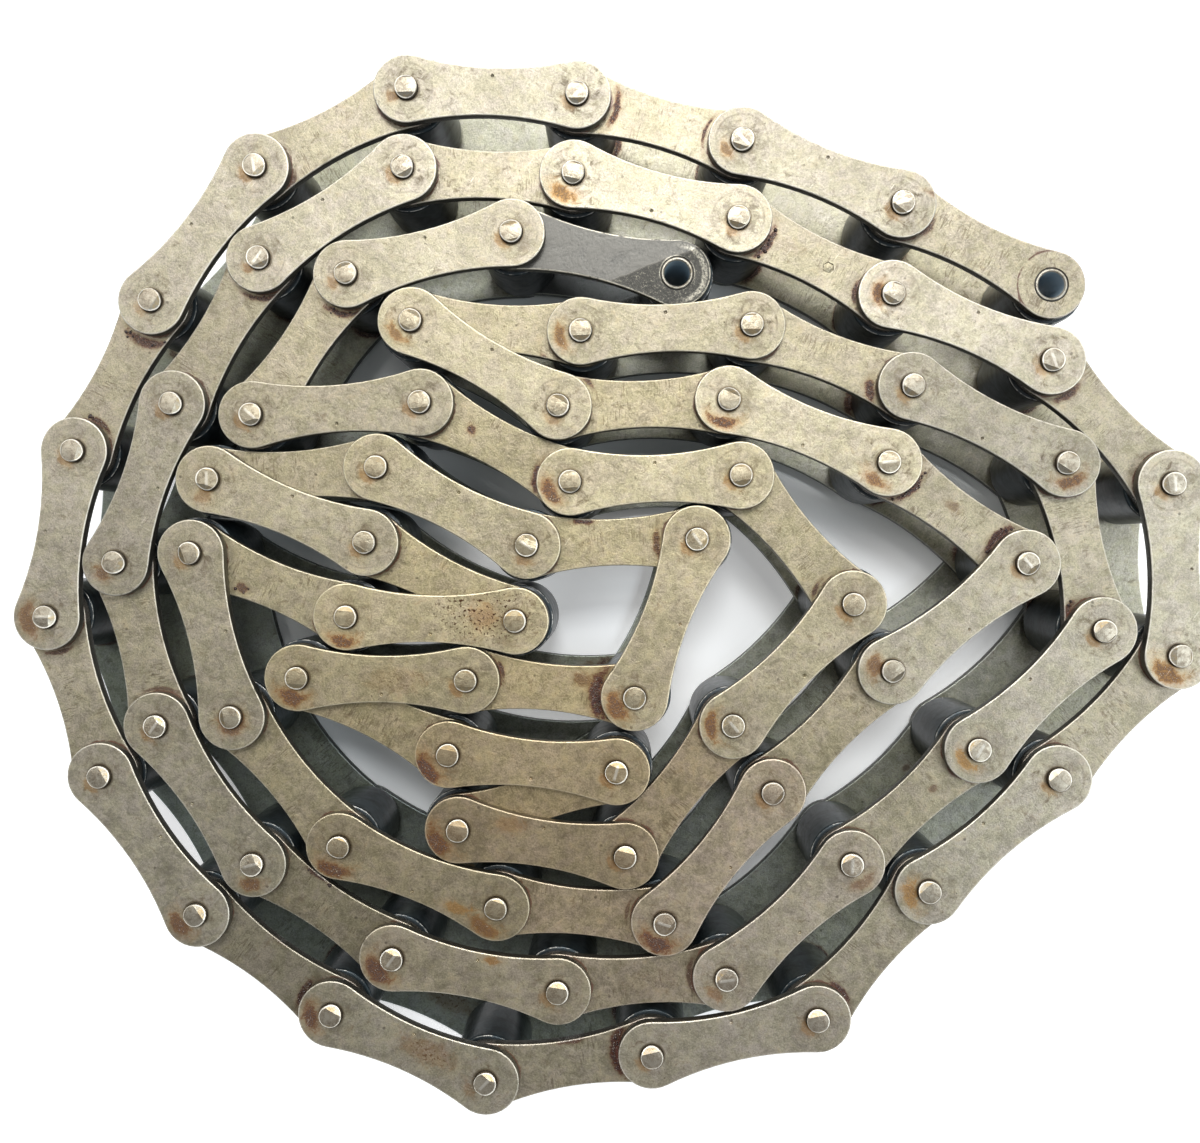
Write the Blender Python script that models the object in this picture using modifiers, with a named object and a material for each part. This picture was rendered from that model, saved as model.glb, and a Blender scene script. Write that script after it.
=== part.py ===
"""A coil of roller chain lying flat on its side, with seventy-three links from one free end to the other.

The chain is the wide agricultural kind with waisted plates. Both free ends are roller links with open
bushings. They and the pin links that carry them are modelled piece by piece. The links between are
solids of two links each, one roller link and the pin link after it, which hinge on each other.
"""

import math

import bmesh
import bpy
import numpy as np
from mathutils import Euler, Matrix, Vector

# Sizes of one link, in metres
PITCH = 0.04191
INNER_WIDTH = 0.0254
ROLLER_RADIUS = 0.0093
ROLLER_END_RADIUS = 0.0077
ROLLER_CHAMFER = 0.0006
PIN_RADIUS = 0.00286
BUSHING_RADIUS = 0.0041
PLATE_THICKNESS = 0.0028
PLATE_END_RADIUS = 0.0084
WAIST_HALF_WIDTH = 0.0058
PIN_HEAD = 0.0017
PIN_CHAMFER = 0.0006

# Clearance between touching pieces, in metres
GAP = 0.0003

# Heights of the lower faces of the four plates of a joint, and of the whole chain lying on its side
OUTER_LOW = PIN_HEAD
INNER_LOW = OUTER_LOW + PLATE_THICKNESS + GAP
INNER_HIGH = INNER_LOW + PLATE_THICKNESS + INNER_WIDTH
OUTER_HIGH = INNER_HIGH + PLATE_THICKNESS + GAP
CHAIN_WIDTH = OUTER_HIGH + PLATE_THICKNESS + PIN_HEAD

# Facets of the round shapes
PIN_SIDES = 8
ROLLER_SIDES = 10
END_SIDES = 12
END_ARC_STEPS = 5
HOLLOW_STEPS = 3
SMOOTH_UNDER = math.radians(50)
FLAT_UNDER = math.radians(0.1)
WELD_DISTANCE = 1e-6

# Each long side of a plate is one hollow arc that runs smoothly into the two round ends
HOLLOW_RADIUS = (PITCH**2 / 4 + WAIST_HALF_WIDTH**2 - PLATE_END_RADIUS**2) / (
    2 * (PLATE_END_RADIUS - WAIST_HALF_WIDTH)
)
HOLLOW_CENTRE = WAIST_HALF_WIDTH + HOLLOW_RADIUS
END_ARC_HALF_ANGLE = math.atan2(HOLLOW_CENTRE, -PITCH / 2)

# How the photograph looks down on the top plates: pixels to a metre, the camera's rise and its tilt
PHOTO_CENTRE = (600.0, 571.5)
PIXELS_PER_METRE = 4064.0
CAMERA_RISE = 0.291
CAMERA_TILT = (math.radians(-1.0), math.radians(1.33))
OPEN_END_DROP = PLATE_THICKNESS + GAP

# Pixels of the joints, read by eye as the centres of the round plate ends, in order along the chain
OUTER_TURN = [
    (1051.5, 284.5), (903, 203.5), (741.5, 140), (576, 94.5), (406, 89.5), (256.5, 167), (151.5, 301),
    (74.5, 450.5), (47.5, 617.5), (100.5, 775), (196.5, 913.5), (330, 1013.5), (485, 1082), (651, 1055.5),
    (818, 1019.5), (928, 891.5), (1060, 777.5), (1178.5, 656), (1171.5, 483),
]
SECOND_TURN = [
    (1053, 361.5), (891, 293), (740, 219), (573.5, 173.5), (403.5, 167.5), (258, 259), (172, 404),
    (115, 562.5), (156, 725.5), (252, 863.5), (391.5, 958.5), (558, 992), (725, 981), (851.5, 864),
    (977.5, 750.5), (1105.5, 629.5), (1068, 464),
]
THIRD_TURN = [
    (911.5, 385), (752, 325.5), (580, 331), (410, 320), (559, 406.5), (728, 399), (888, 462.5),
    (1028, 562), (892, 671.5), (773.5, 792), (664.5, 923), (496.5, 908), (338.5, 846), (231, 716),
    (190, 553),
]
FOLDED_MIDDLE = [
    (346.5, 616.5), (515, 619.5), (366.5, 543.5), (207, 480), (376.5, 467.5), (528, 545.5), (696, 540.5),
    (633.5, 697.5), (467.5, 680), (298, 678.5), (449, 753), (617.5, 770), (457.5, 828.5), (624.5, 855),
    (732, 726), (852.5, 603.5), (739.5, 476.5), (569, 483), (421, 403.5), (251.5, 415), (346, 274),
    (511.5, 232.5), (677, 273),
]
JOINT_PIXELS = OUTER_TURN + SECOND_TURN + THIRD_TURN + FOLDED_MIDDLE
SETTLING_ROUNDS = 1000
LAST_JOINT = len(JOINT_PIXELS) - 1

COLLECTION_NAME = "roller_chain_coil"

# Colour, roughness and metallic value of each steel
FINISHES = {
    "plate_steel": ((0.36, 0.33, 0.25), 0.45, 0.8),
    "pin_steel": ((0.62, 0.58, 0.50), 0.25, 1.0),
    "roller_steel": ((0.035, 0.042, 0.047), 0.35, 0.7),
    "dark_end_steel": ((0.07, 0.075, 0.08), 0.4, 0.7),
}


def clear_scene():
    """Removes every object that the file starts with."""
    for obj in list(bpy.data.objects):
        bpy.data.objects.remove(obj)


def make_material(name):
    """One Principled steel."""
    colour, roughness, metallic = FINISHES[name]
    material = bpy.data.materials.new(name)
    material.use_nodes = True
    shader = material.node_tree.nodes["Principled BSDF"]
    shader.inputs["Base Color"].default_value = (*colour, 1.0)
    shader.inputs["Roughness"].default_value = roughness
    shader.inputs["Metallic"].default_value = metallic
    material.diffuse_color = (*colour, 1.0)
    return material


def make_collection(name, hidden=False):
    """A collection in the scene; the hidden one holds helpers that are not part of the chain."""
    collection = bpy.data.collections.new(name)
    collection.hide_render = hidden
    bpy.context.scene.collection.children.link(collection)
    return collection


def place_in_photo_plane(pixel, drop=0.0):
    """Point that a photo pixel looks at, in a level plane this far below the top of the outer plates."""
    focal = PIXELS_PER_METRE * CAMERA_RISE
    ray = Vector((pixel[0] - PHOTO_CENTRE[0], PHOTO_CENTRE[1] - pixel[1], -focal))
    ray.rotate(Euler((*CAMERA_TILT, 0.0)))
    return ray.xy * ((CAMERA_RISE + drop) / -ray.z)


def even_pitches(joints):
    """Moves the joints of each link along it until they are one pitch apart."""
    for first in (0, 1):
        start, end = joints[first:-1:2], joints[first + 1 :: 2]
        span = end - start
        length = np.linalg.norm(span, axis=1, keepdims=True)
        shift = span * (1 - PITCH / length) / 2
        start += shift
        end -= shift


def part_rollers(joints):
    """Moves rollers apart that come closer than side by side."""
    between = joints[None] - joints[:, None]
    distance = np.linalg.norm(between, axis=2) + np.eye(len(joints))
    lacking = np.maximum(2 * ROLLER_RADIUS + GAP - distance, 0)
    np.fill_diagonal(lacking, 0)
    joints += (between * (lacking / distance)[:, :, None]).sum(axis=0) / 2


def part_plates(joints):
    """Moves a round plate end off the hollow side of a plate in the same layer that it presses on."""
    start, end = joints[:-1], joints[1:]
    along = (end - start) / np.linalg.norm(end - start, axis=1, keepdims=True)
    across = np.stack([-along[:, 1], along[:, 0]], axis=1)
    offset = joints[None] - ((start + end) / 2)[:, None]
    x = (offset * along[:, None]).sum(axis=2)
    y = (offset * across[:, None]).sum(axis=2)
    to_centre_y = np.where(y < 0, -HOLLOW_CENTRE, HOLLOW_CENTRE) - y
    reach = np.hypot(x, to_centre_y)
    beside = np.abs(x) * HOLLOW_CENTRE < PITCH / 2 * (HOLLOW_CENTRE - np.abs(y))
    lacking = np.maximum(PLATE_END_RADIUS + GAP - (HOLLOW_RADIUS - reach), 0) * beside
    # A link does not press on its own joints, and the two open ends have no outer plates
    links = np.arange(len(joints) - 1)
    lacking[links, links] = 0
    lacking[links, links + 1] = 0
    lacking[1::2, 0] = 0
    lacking[1::2, -1] = 0
    off_wall = across[:, None] * to_centre_y[..., None] - along[:, None] * x[..., None]
    push = off_wall * (lacking / reach)[..., None]
    share = (x / PITCH + 0.5)[..., None]
    off_start = (push * (1 - share)).sum(axis=1)
    off_end = (push * share).sum(axis=1)
    joints += push.sum(axis=0) / 2
    joints[:-1] -= off_start / 2
    joints[1:] -= off_end / 2


def settled_joints():
    """Places of the joints in metres, each link one pitch long and clear of its neighbours."""
    places = [place_in_photo_plane(pixel) for pixel in JOINT_PIXELS]
    for open_end in (0, LAST_JOINT):
        places[open_end] = place_in_photo_plane(JOINT_PIXELS[open_end], OPEN_END_DROP)
    joints = np.array(places)
    for _ in range(SETTLING_ROUNDS):
        part_rollers(joints)
        part_plates(joints)
        even_pitches(joints)
    return joints


def arc(centre, radius, first, last, steps):
    """Points along a level arc, both ends included."""
    angles = [first + (last - first) * step / steps for step in range(steps + 1)]
    return [(centre[0] + radius * math.cos(a), centre[1] + radius * math.sin(a)) for a in angles]


def circle(centre_x, radius, sides):
    """Corner points of a round hole on the link's centre line."""
    return arc((centre_x, 0.0), radius, 0.0, 2 * math.pi * (sides - 1) / sides, sides - 1)


def plate_outline():
    """Corner points of a waisted plate from its far end round to its near end, which is at the origin."""
    half = END_ARC_HALF_ANGLE
    lean = math.atan2(PITCH / 2, HOLLOW_CENTRE)
    far_end = arc((PITCH, 0.0), PLATE_END_RADIUS, -half, half, END_ARC_STEPS)
    near_end = arc((0.0, 0.0), PLATE_END_RADIUS, math.pi - half, math.pi + half, END_ARC_STEPS)
    down, up = -math.pi / 2, math.pi / 2
    upper_side = arc((PITCH / 2, HOLLOW_CENTRE), HOLLOW_RADIUS, down + lean, down - lean, HOLLOW_STEPS)
    lower_side = arc((PITCH / 2, -HOLLOW_CENTRE), HOLLOW_RADIUS, up + lean, up - lean, HOLLOW_STEPS)
    return far_end + upper_side[1:-1] + near_end + lower_side[1:-1]


def mesh_of(obj):
    """The object's evaluated mesh, welded and with flat faces joined; the object itself is removed."""
    evaluated = obj.evaluated_get(bpy.context.evaluated_depsgraph_get())
    mesh = bpy.data.meshes.new_from_object(evaluated)
    mesh.transform(obj.matrix_world)
    shape = bmesh.new()
    shape.from_mesh(mesh)
    bmesh.ops.remove_doubles(shape, verts=shape.verts, dist=WELD_DISTANCE)
    bmesh.ops.dissolve_limit(
        shape, angle_limit=FLAT_UNDER, verts=shape.verts, edges=shape.edges, delimit={"MATERIAL"}
    )
    shape.to_mesh(mesh)
    shape.free()
    bpy.data.objects.remove(obj)
    return mesh


def square_ends(mesh, low, high):
    """Puts each point of an upright piece exactly at its lower or upper height."""
    for vert in mesh.vertices:
        vert.co.z = low if vert.co.z < (low + high) / 2 else high
    return mesh


def finish_mesh(mesh, *materials):
    """Gives a mesh its materials and smooth shading over its round faces."""
    if materials:
        mesh.materials.clear()
        for material in materials:
            mesh.materials.append(material)
    mesh.shade_smooth()
    mesh.set_sharp_from_angle(angle=SMOOTH_UNDER)
    return mesh


def plate_mesh(low, material, hole_radius=0.0, sides=END_SIDES):
    """A waisted plate whose lower face is at this height, with a hole at each joint if a radius is given."""
    outlines = [plate_outline()]
    if hole_radius:
        outlines += [circle(0.0, hole_radius, sides), circle(PITCH, hole_radius, sides)]
    curve = bpy.data.curves.new("plate", "CURVE")
    curve.dimensions = "2D"
    curve.fill_mode = "BOTH"
    curve.extrude = PLATE_THICKNESS / 2
    for outline in outlines:
        spline = curve.splines.new("POLY")
        spline.points.add(len(outline) - 1)
        spline.points.foreach_set("co", [value for x, y in outline for value in (x, y, 0.0, 1.0)])
        spline.use_cyclic_u = True
    obj = bpy.data.objects.new("plate", curve)
    obj.location.z = low + PLATE_THICKNESS / 2
    bpy.context.scene.collection.objects.link(obj)
    bpy.context.view_layer.update()
    return finish_mesh(square_ends(mesh_of(obj), low, low + PLATE_THICKNESS), material)


def rod_mesh(x, radius, low, high, sides, material):
    """An upright round bar at this place on the link's centre line."""
    mesh = bpy.data.meshes.new("rod")
    shape = bmesh.new()
    place = Matrix.Translation((x, 0.0, (low + high) / 2))
    bmesh.ops.create_cone(
        shape, cap_ends=True, segments=sides, radius1=radius, radius2=radius, depth=high - low, matrix=place
    )
    shape.to_mesh(mesh)
    shape.free()
    return finish_mesh(square_ends(mesh, low, high), material)


def turned_mesh(profile, material, sides=END_SIDES):
    """A turned piece from a profile of radius and height, which runs down its outer side."""
    mesh = bpy.data.meshes.new("profile")
    shape = bmesh.new()
    corners = [shape.verts.new((radius, 0.0, height)) for radius, height in profile]
    closed = profile[0][0] > 0
    for first, second in zip(corners, corners[1:] + corners[:1] * closed):
        shape.edges.new((first, second))
    shape.to_mesh(mesh)
    shape.free()
    obj = bpy.data.objects.new("profile", mesh)
    bpy.context.scene.collection.objects.link(obj)
    turn = obj.modifiers.new("turn", "SCREW")
    turn.steps = turn.render_steps = sides
    turn.use_merge_vertices = True
    turn.merge_threshold = WELD_DISTANCE
    bpy.context.view_layer.update()
    return finish_mesh(mesh_of(obj), material)


def tube_profile(bore, radius, low, high):
    """Profile of a plain tube."""
    return [(radius, high), (radius, low), (bore, low), (bore, high)]


def fused_roller_profile():
    """Profile of a roller and its bushing as one body, with chamfered ends inside the plates' outline."""
    low, high = INNER_LOW + PLATE_THICKNESS, INNER_HIGH
    upper = [(0.0, high), (ROLLER_END_RADIUS, high), (ROLLER_RADIUS, high - ROLLER_CHAMFER)]
    lower = [(ROLLER_RADIUS, low + ROLLER_CHAMFER), (ROLLER_END_RADIUS, low), (0.0, low)]
    return upper + lower


def pin_profile():
    """Profile of a riveted pin with a chamfer at each end."""
    shoulder = PIN_RADIUS - PIN_CHAMFER
    upper = [(0.0, CHAIN_WIDTH), (shoulder, CHAIN_WIDTH), (PIN_RADIUS, CHAIN_WIDTH - PIN_CHAMFER)]
    lower = [(PIN_RADIUS, PIN_CHAMFER), (shoulder, 0.0), (0.0, 0.0)]
    return upper + lower


def clearance_hole(radius, gap, sides):
    """Corner radius of a many-sided hole whose flats clear a round of this radius by the gap."""
    return (radius + gap) / math.cos(math.pi / sides)


def combined_mesh(base, others, operation, helpers):
    """The exact union of a mesh with others, or their difference."""
    pieces = bpy.data.collections.new("pieces")
    helpers.children.link(pieces)
    for other in others:
        piece = bpy.data.objects.new("piece", other)
        piece.hide_render = True
        piece.display_type = "WIRE"
        pieces.objects.link(piece)
    obj = bpy.data.objects.new("base", base)
    bpy.context.scene.collection.objects.link(obj)
    join = obj.modifiers.new("join", "BOOLEAN")
    join.operation = operation
    join.operand_type = "COLLECTION"
    join.collection = pieces
    join.solver = "EXACT"
    join.material_mode = "TRANSFER"
    bpy.context.view_layer.update()
    mesh = mesh_of(obj)
    for piece in list(pieces.objects):
        bpy.data.objects.remove(piece)
    bpy.data.collections.remove(pieces)
    return finish_mesh(mesh)


def fused_roller_link(bores, materials, helpers):
    """A roller link in one solid: two plates and two rollers, with a bore at each joint listed."""
    steel = materials["plate_steel"]
    near_roller = turned_mesh(fused_roller_profile(), materials["roller_steel"], ROLLER_SIDES)
    far_roller = near_roller.copy()
    far_roller.transform(Matrix.Translation((PITCH, 0.0, 0.0)))
    others = [plate_mesh(INNER_HIGH, steel), near_roller, far_roller]
    link = combined_mesh(plate_mesh(INNER_LOW, steel), others, "UNION", helpers)
    bore = clearance_hole(PIN_RADIUS, GAP, PIN_SIDES)
    cutters = [rod_mesh(x, bore, 0.0, CHAIN_WIDTH, PIN_SIDES, steel) for x in bores]
    return combined_mesh(link, cutters, "DIFFERENCE", helpers)


def fused_pin_link(materials, helpers):
    """A pin link in one solid: two plates riveted on two pins."""
    steel = materials["plate_steel"]
    pin_steel = materials["pin_steel"]
    pins = [rod_mesh(x, PIN_RADIUS, 0.0, CHAIN_WIDTH, PIN_SIDES, pin_steel) for x in (0.0, PITCH)]
    others = [plate_mesh(OUTER_HIGH, steel), *pins]
    return combined_mesh(plate_mesh(OUTER_LOW, steel), others, "UNION", helpers)


def heading(joints, link):
    """Direction of a link, as an angle from +X."""
    span = joints[link + 1] - joints[link]
    return math.atan2(span[1], span[0])


def add_piece(name, mesh, joints, link, joint, collection):
    """A named object for a mesh drawn along +X, with its origin on the axis of this joint of the link."""
    mesh.name = name
    obj = bpy.data.objects.new(name, mesh)
    obj.location = (*joints[joint], 0.0)
    obj.rotation_euler.z = heading(joints, link)
    collection.objects.link(obj)
    return obj


def add_link_pair(name, joints, first, meshes, collection, helpers):
    """The roller link that starts at this joint and the pin link after it, in one solid."""
    turn = Matrix.Rotation(heading(joints, first + 1) - heading(joints, first), 4, "Z")
    pin_link = meshes["pin_link"].copy()
    pin_link.transform(Matrix.Translation((PITCH, 0.0, 0.0)) @ turn)
    mesh = combined_mesh(meshes["roller_link"], [pin_link], "UNION", helpers)
    return add_piece(name, mesh, joints, first, first, collection)


def add_roller_end(prefix, joints, link, hinge, free, materials, collection):
    """The pieces of a free end: a roller link of two plates, two bushings and two rollers."""
    plate = "dark_end_steel" if prefix == "inner_end" else "plate_steel"
    hole = BUSHING_RADIUS + GAP
    for name, low in (("top_plate", INNER_HIGH), ("bottom_plate", INNER_LOW)):
        mesh = plate_mesh(low, materials[plate], hole)
        add_piece(f"{prefix}_{name}", mesh, joints, link, link, collection)
    bore = clearance_hole(PIN_RADIUS, GAP, END_SIDES)
    bushing = tube_profile(bore, BUSHING_RADIUS, INNER_LOW, INNER_HIGH + PLATE_THICKNESS)
    roller_bore = clearance_hole(BUSHING_RADIUS, GAP, END_SIDES)
    roller = tube_profile(roller_bore, ROLLER_RADIUS, INNER_LOW + PLATE_THICKNESS + GAP, INNER_HIGH - GAP)
    for place, joint in (("hinge", hinge), ("free", free)):
        mesh = turned_mesh(bushing, materials["pin_steel"])
        add_piece(f"{prefix}_{place}_bushing", mesh, joints, link, joint, collection)
        mesh = turned_mesh(roller, materials["roller_steel"])
        add_piece(f"{prefix}_{place}_roller", mesh, joints, link, joint, collection)


def add_pin_end(prefix, joints, link, materials, collection):
    """The pieces of the pin link that carries a free end: two plates and two pins."""
    for name, low in (("top_plate", OUTER_HIGH), ("bottom_plate", OUTER_LOW)):
        mesh = plate_mesh(low, materials["plate_steel"], PIN_RADIUS + GAP)
        add_piece(f"{prefix}_pin_link_{name}", mesh, joints, link, link, collection)
    for joint in (link, link + 1):
        mesh = turned_mesh(pin_profile(), materials["pin_steel"])
        add_piece(f"{prefix}_pin_{joint:02d}", mesh, joints, link, joint, collection)


def stand_at_origin(collection):
    """Moves all pieces so that the middle of the coil's box is over the origin."""
    bpy.context.view_layer.update()
    objects = collection.objects
    corners = np.array([obj.matrix_world @ vert.co for obj in objects for vert in obj.data.vertices])
    middle = (corners.min(axis=0) + corners.max(axis=0)) / 2
    for obj in objects:
        obj.location.x -= middle[0]
        obj.location.y -= middle[1]


def main():
    """Builds the coil."""
    clear_scene()
    materials = {name: make_material(name) for name in FINISHES}
    coil = make_collection(COLLECTION_NAME)
    helpers = make_collection("cutters", hidden=True)
    joints = settled_joints()

    add_roller_end("outer_end", joints, 0, 1, 0, materials, coil)
    add_pin_end("outer_end", joints, 1, materials, coil)
    meshes = {
        "roller_link": fused_roller_link([0.0], materials, helpers),
        "pin_link": fused_pin_link(materials, helpers),
    }
    pair_starts = range(2, LAST_JOINT - 3, 2)
    for number, first in enumerate(pair_starts, start=1):
        add_link_pair(f"link_pair_{number:02d}", joints, first, meshes, coil, helpers)
    last_roller_link = LAST_JOINT - 3
    mesh = fused_roller_link([0.0, PITCH], materials, helpers)
    add_piece("last_roller_link", mesh, joints, last_roller_link, last_roller_link, coil)
    add_pin_end("inner_end", joints, LAST_JOINT - 2, materials, coil)
    add_roller_end("inner_end", joints, LAST_JOINT - 1, LAST_JOINT - 1, LAST_JOINT, materials, coil)
    stand_at_origin(coil)


main()
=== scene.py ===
"""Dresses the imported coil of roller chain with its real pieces, finishes, floor, light and camera.

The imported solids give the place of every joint. Each link gets its own pair of waisted plates, and its
pins, or its bushings and rollers, at their real sizes.
"""

import logging
import math
import random
from dataclasses import dataclass, field, replace
from enum import Enum
from typing import Iterable, Optional, Sequence, Union

import bmesh
import bpy
from mathutils import Euler, Matrix, Vector


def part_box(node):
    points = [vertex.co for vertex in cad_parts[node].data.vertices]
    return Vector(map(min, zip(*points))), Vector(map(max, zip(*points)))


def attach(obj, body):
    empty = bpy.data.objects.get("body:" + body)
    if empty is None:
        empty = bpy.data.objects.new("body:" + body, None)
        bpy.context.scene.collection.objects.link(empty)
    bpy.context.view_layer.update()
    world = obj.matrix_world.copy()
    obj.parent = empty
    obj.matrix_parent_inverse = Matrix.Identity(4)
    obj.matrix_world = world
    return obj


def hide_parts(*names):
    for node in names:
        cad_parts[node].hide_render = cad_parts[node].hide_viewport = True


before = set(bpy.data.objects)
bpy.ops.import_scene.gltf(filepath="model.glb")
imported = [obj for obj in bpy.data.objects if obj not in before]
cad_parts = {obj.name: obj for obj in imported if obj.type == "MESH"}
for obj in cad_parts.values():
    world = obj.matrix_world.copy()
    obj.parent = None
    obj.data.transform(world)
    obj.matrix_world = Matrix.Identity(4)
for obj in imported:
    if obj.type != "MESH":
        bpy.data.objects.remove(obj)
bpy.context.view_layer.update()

log = logging.getLogger("chain")

Point = tuple[float, float]
Range = tuple[float, float]
Trio = tuple[float, float, float]
Profile = list[Trio]
Colour = tuple[float, float, float]

MM = 0.001


# Sizes


@dataclass(frozen=True)
class LinkSizes:
    """Real sizes of the chain in metres, with round parts that stay inside the solids' many-sided ones."""

    pitch: float = 0.04191
    inner_width: float = 0.0254
    roller_radius: float = 0.00916
    bushing_radius: float = 0.0041
    bushing_bore: float = 0.00316
    pin_radius: float = 0.00277
    plate_thickness: float = 0.0028
    plate_end_radius: float = 0.00834
    waist_half_width: float = 0.0058
    pin_head: float = 0.0017
    gap: float = 0.0003

    @property
    def outer_low(self) -> float:
        """Height of the lower outer plate's underside."""
        return self.pin_head

    @property
    def inner_low(self) -> float:
        """Height of the lower inner plate's underside."""
        return self.outer_low + self.plate_thickness + self.gap

    @property
    def inner_high(self) -> float:
        """Height of the upper inner plate's underside."""
        return self.inner_low + self.plate_thickness + self.inner_width

    @property
    def outer_high(self) -> float:
        """Height of the upper outer plate's underside."""
        return self.inner_high + self.plate_thickness + self.gap

    @property
    def chain_width(self) -> float:
        """Height of the pins' upper ends."""
        return self.outer_high + self.plate_thickness + self.pin_head

    @property
    def hollow_radius(self) -> float:
        """Radius of the long hollow arc on each side of a plate."""
        ends = self.pitch**2 / 4 + self.waist_half_width**2 - self.plate_end_radius**2
        return ends / (2 * (self.plate_end_radius - self.waist_half_width))

    @property
    def hollow_centre(self) -> float:
        """Distance of that arc's centre from the plate's centre line."""
        return self.waist_half_width + self.hollow_radius


SIZES = LinkSizes()


# Meshes


class RingBody:
    """A mesh made from level rings of corner points that strips and flat caps join."""

    # Edge mark for worn metal and for a painted highlight on broken edges.
    WEAR_AND_HIGHLIGHT = "edge_wear_and_highlight"

    def __init__(self) -> None:
        """Starts with no rings."""
        self.shape = bmesh.new()
        self.wear_and_highlight = self.shape.verts.layers.float.new(self.WEAR_AND_HIGHLIGHT)

    def ring(self, points: Iterable[Point], height: float, wear_and_highlight: float = 0.0) -> list:
        """Adds one ring of corners.

        Args:
            points: corners in the plane, in order round the ring.
            height: height of the ring.
            wear_and_highlight: how bright the edge is worn there, and lit by a painted highlight, from 0 to
                1.

        Returns:
            The ring's new corners.
        """
        corners = [self.shape.verts.new((x, y, height)) for x, y in points]
        for corner in corners:
            corner[self.wear_and_highlight] = wear_and_highlight
        return corners

    def skin(self, rings: Sequence[list]) -> None:
        """Joins each ring to the next with a strip of faces.

        Args:
            rings: rings with equal numbers of corners.
        """
        for upper, lower in zip(rings, rings[1:]):
            for i, corner in enumerate(upper):
                j = (i + 1) % len(upper)
                self.shape.faces.new((corner, lower[i], lower[j], upper[j]))

    def cap(self, *rings: list) -> None:
        """Closes a flat end between its outer ring and the rings of its holes."""
        edges = [self.shape.edges.get((r[i - 1], r[i])) for r in rings for i in range(len(r))]
        bmesh.ops.triangle_fill(self.shape, use_beauty=True, use_dissolve=False, edges=edges)

    def drum(self, rings: Sequence[list]) -> None:
        """Joins each ring to the next and closes both ends.

        Args:
            rings: rings with equal numbers of corners.
        """
        self.skin(rings)
        self.cap(rings[0])
        self.cap(rings[-1])

    def cut(self, point: Vector, normal: Vector) -> None:
        """Takes off what lies beyond a plane and closes the flat that it leaves.

        Args:
            point: a point on the plane.
            normal: direction of the side that goes.
        """
        parts = list(self.shape.verts) + list(self.shape.edges) + list(self.shape.faces)
        made = bmesh.ops.bisect_plane(
            self.shape, geom=parts, plane_co=point, plane_no=normal, clear_outer=True, dist=1e-7
        )
        edges = [part for part in made["geom_cut"] if isinstance(part, bmesh.types.BMEdge)]
        bmesh.ops.holes_fill(self.shape, edges=edges, sides=0)

    def mesh(self, name: str, smooth_under: float = math.radians(38)) -> bpy.types.Mesh:
        """Ends the work and returns the mesh.

        Args:
            name: name of the mesh.
            smooth_under: faces that meet at less than this angle are shaded as one.

        Returns:
            The finished mesh, with its faces turned outward.
        """
        bmesh.ops.recalc_face_normals(self.shape, faces=self.shape.faces)
        mesh = bpy.data.meshes.new(name)
        self.shape.to_mesh(mesh)
        self.shape.free()
        mesh.shade_smooth()
        mesh.set_sharp_from_angle(angle=smooth_under)
        return mesh


def arc(x: float, y: float, radius: float, first: float, last: float, steps: int) -> list[Point]:
    """Corners in steps along an arc round x and y, from its first angle, without the one at its last."""
    angles = (first + (last - first) * k / steps for k in range(steps))
    return [(x + radius * math.cos(a), y + radius * math.sin(a)) for a in angles]


def round_ring(radius: float, sides: int, x: float = 0.0, y: float = 0.0) -> list[Point]:
    """Corners of a circle round x and y."""
    return arc(x, y, radius, 0.0, math.tau, sides)


@dataclass(frozen=True)
class Pocket:
    """A small sunk mark in a plate's top, with its place along and across the plate.

    Each of its steps is a ring, by its share of the radius and of the depth.
    """

    along: float
    across: float
    radius: float
    depth: float
    sides: int
    steps: tuple[tuple[float, float], ...]


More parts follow.
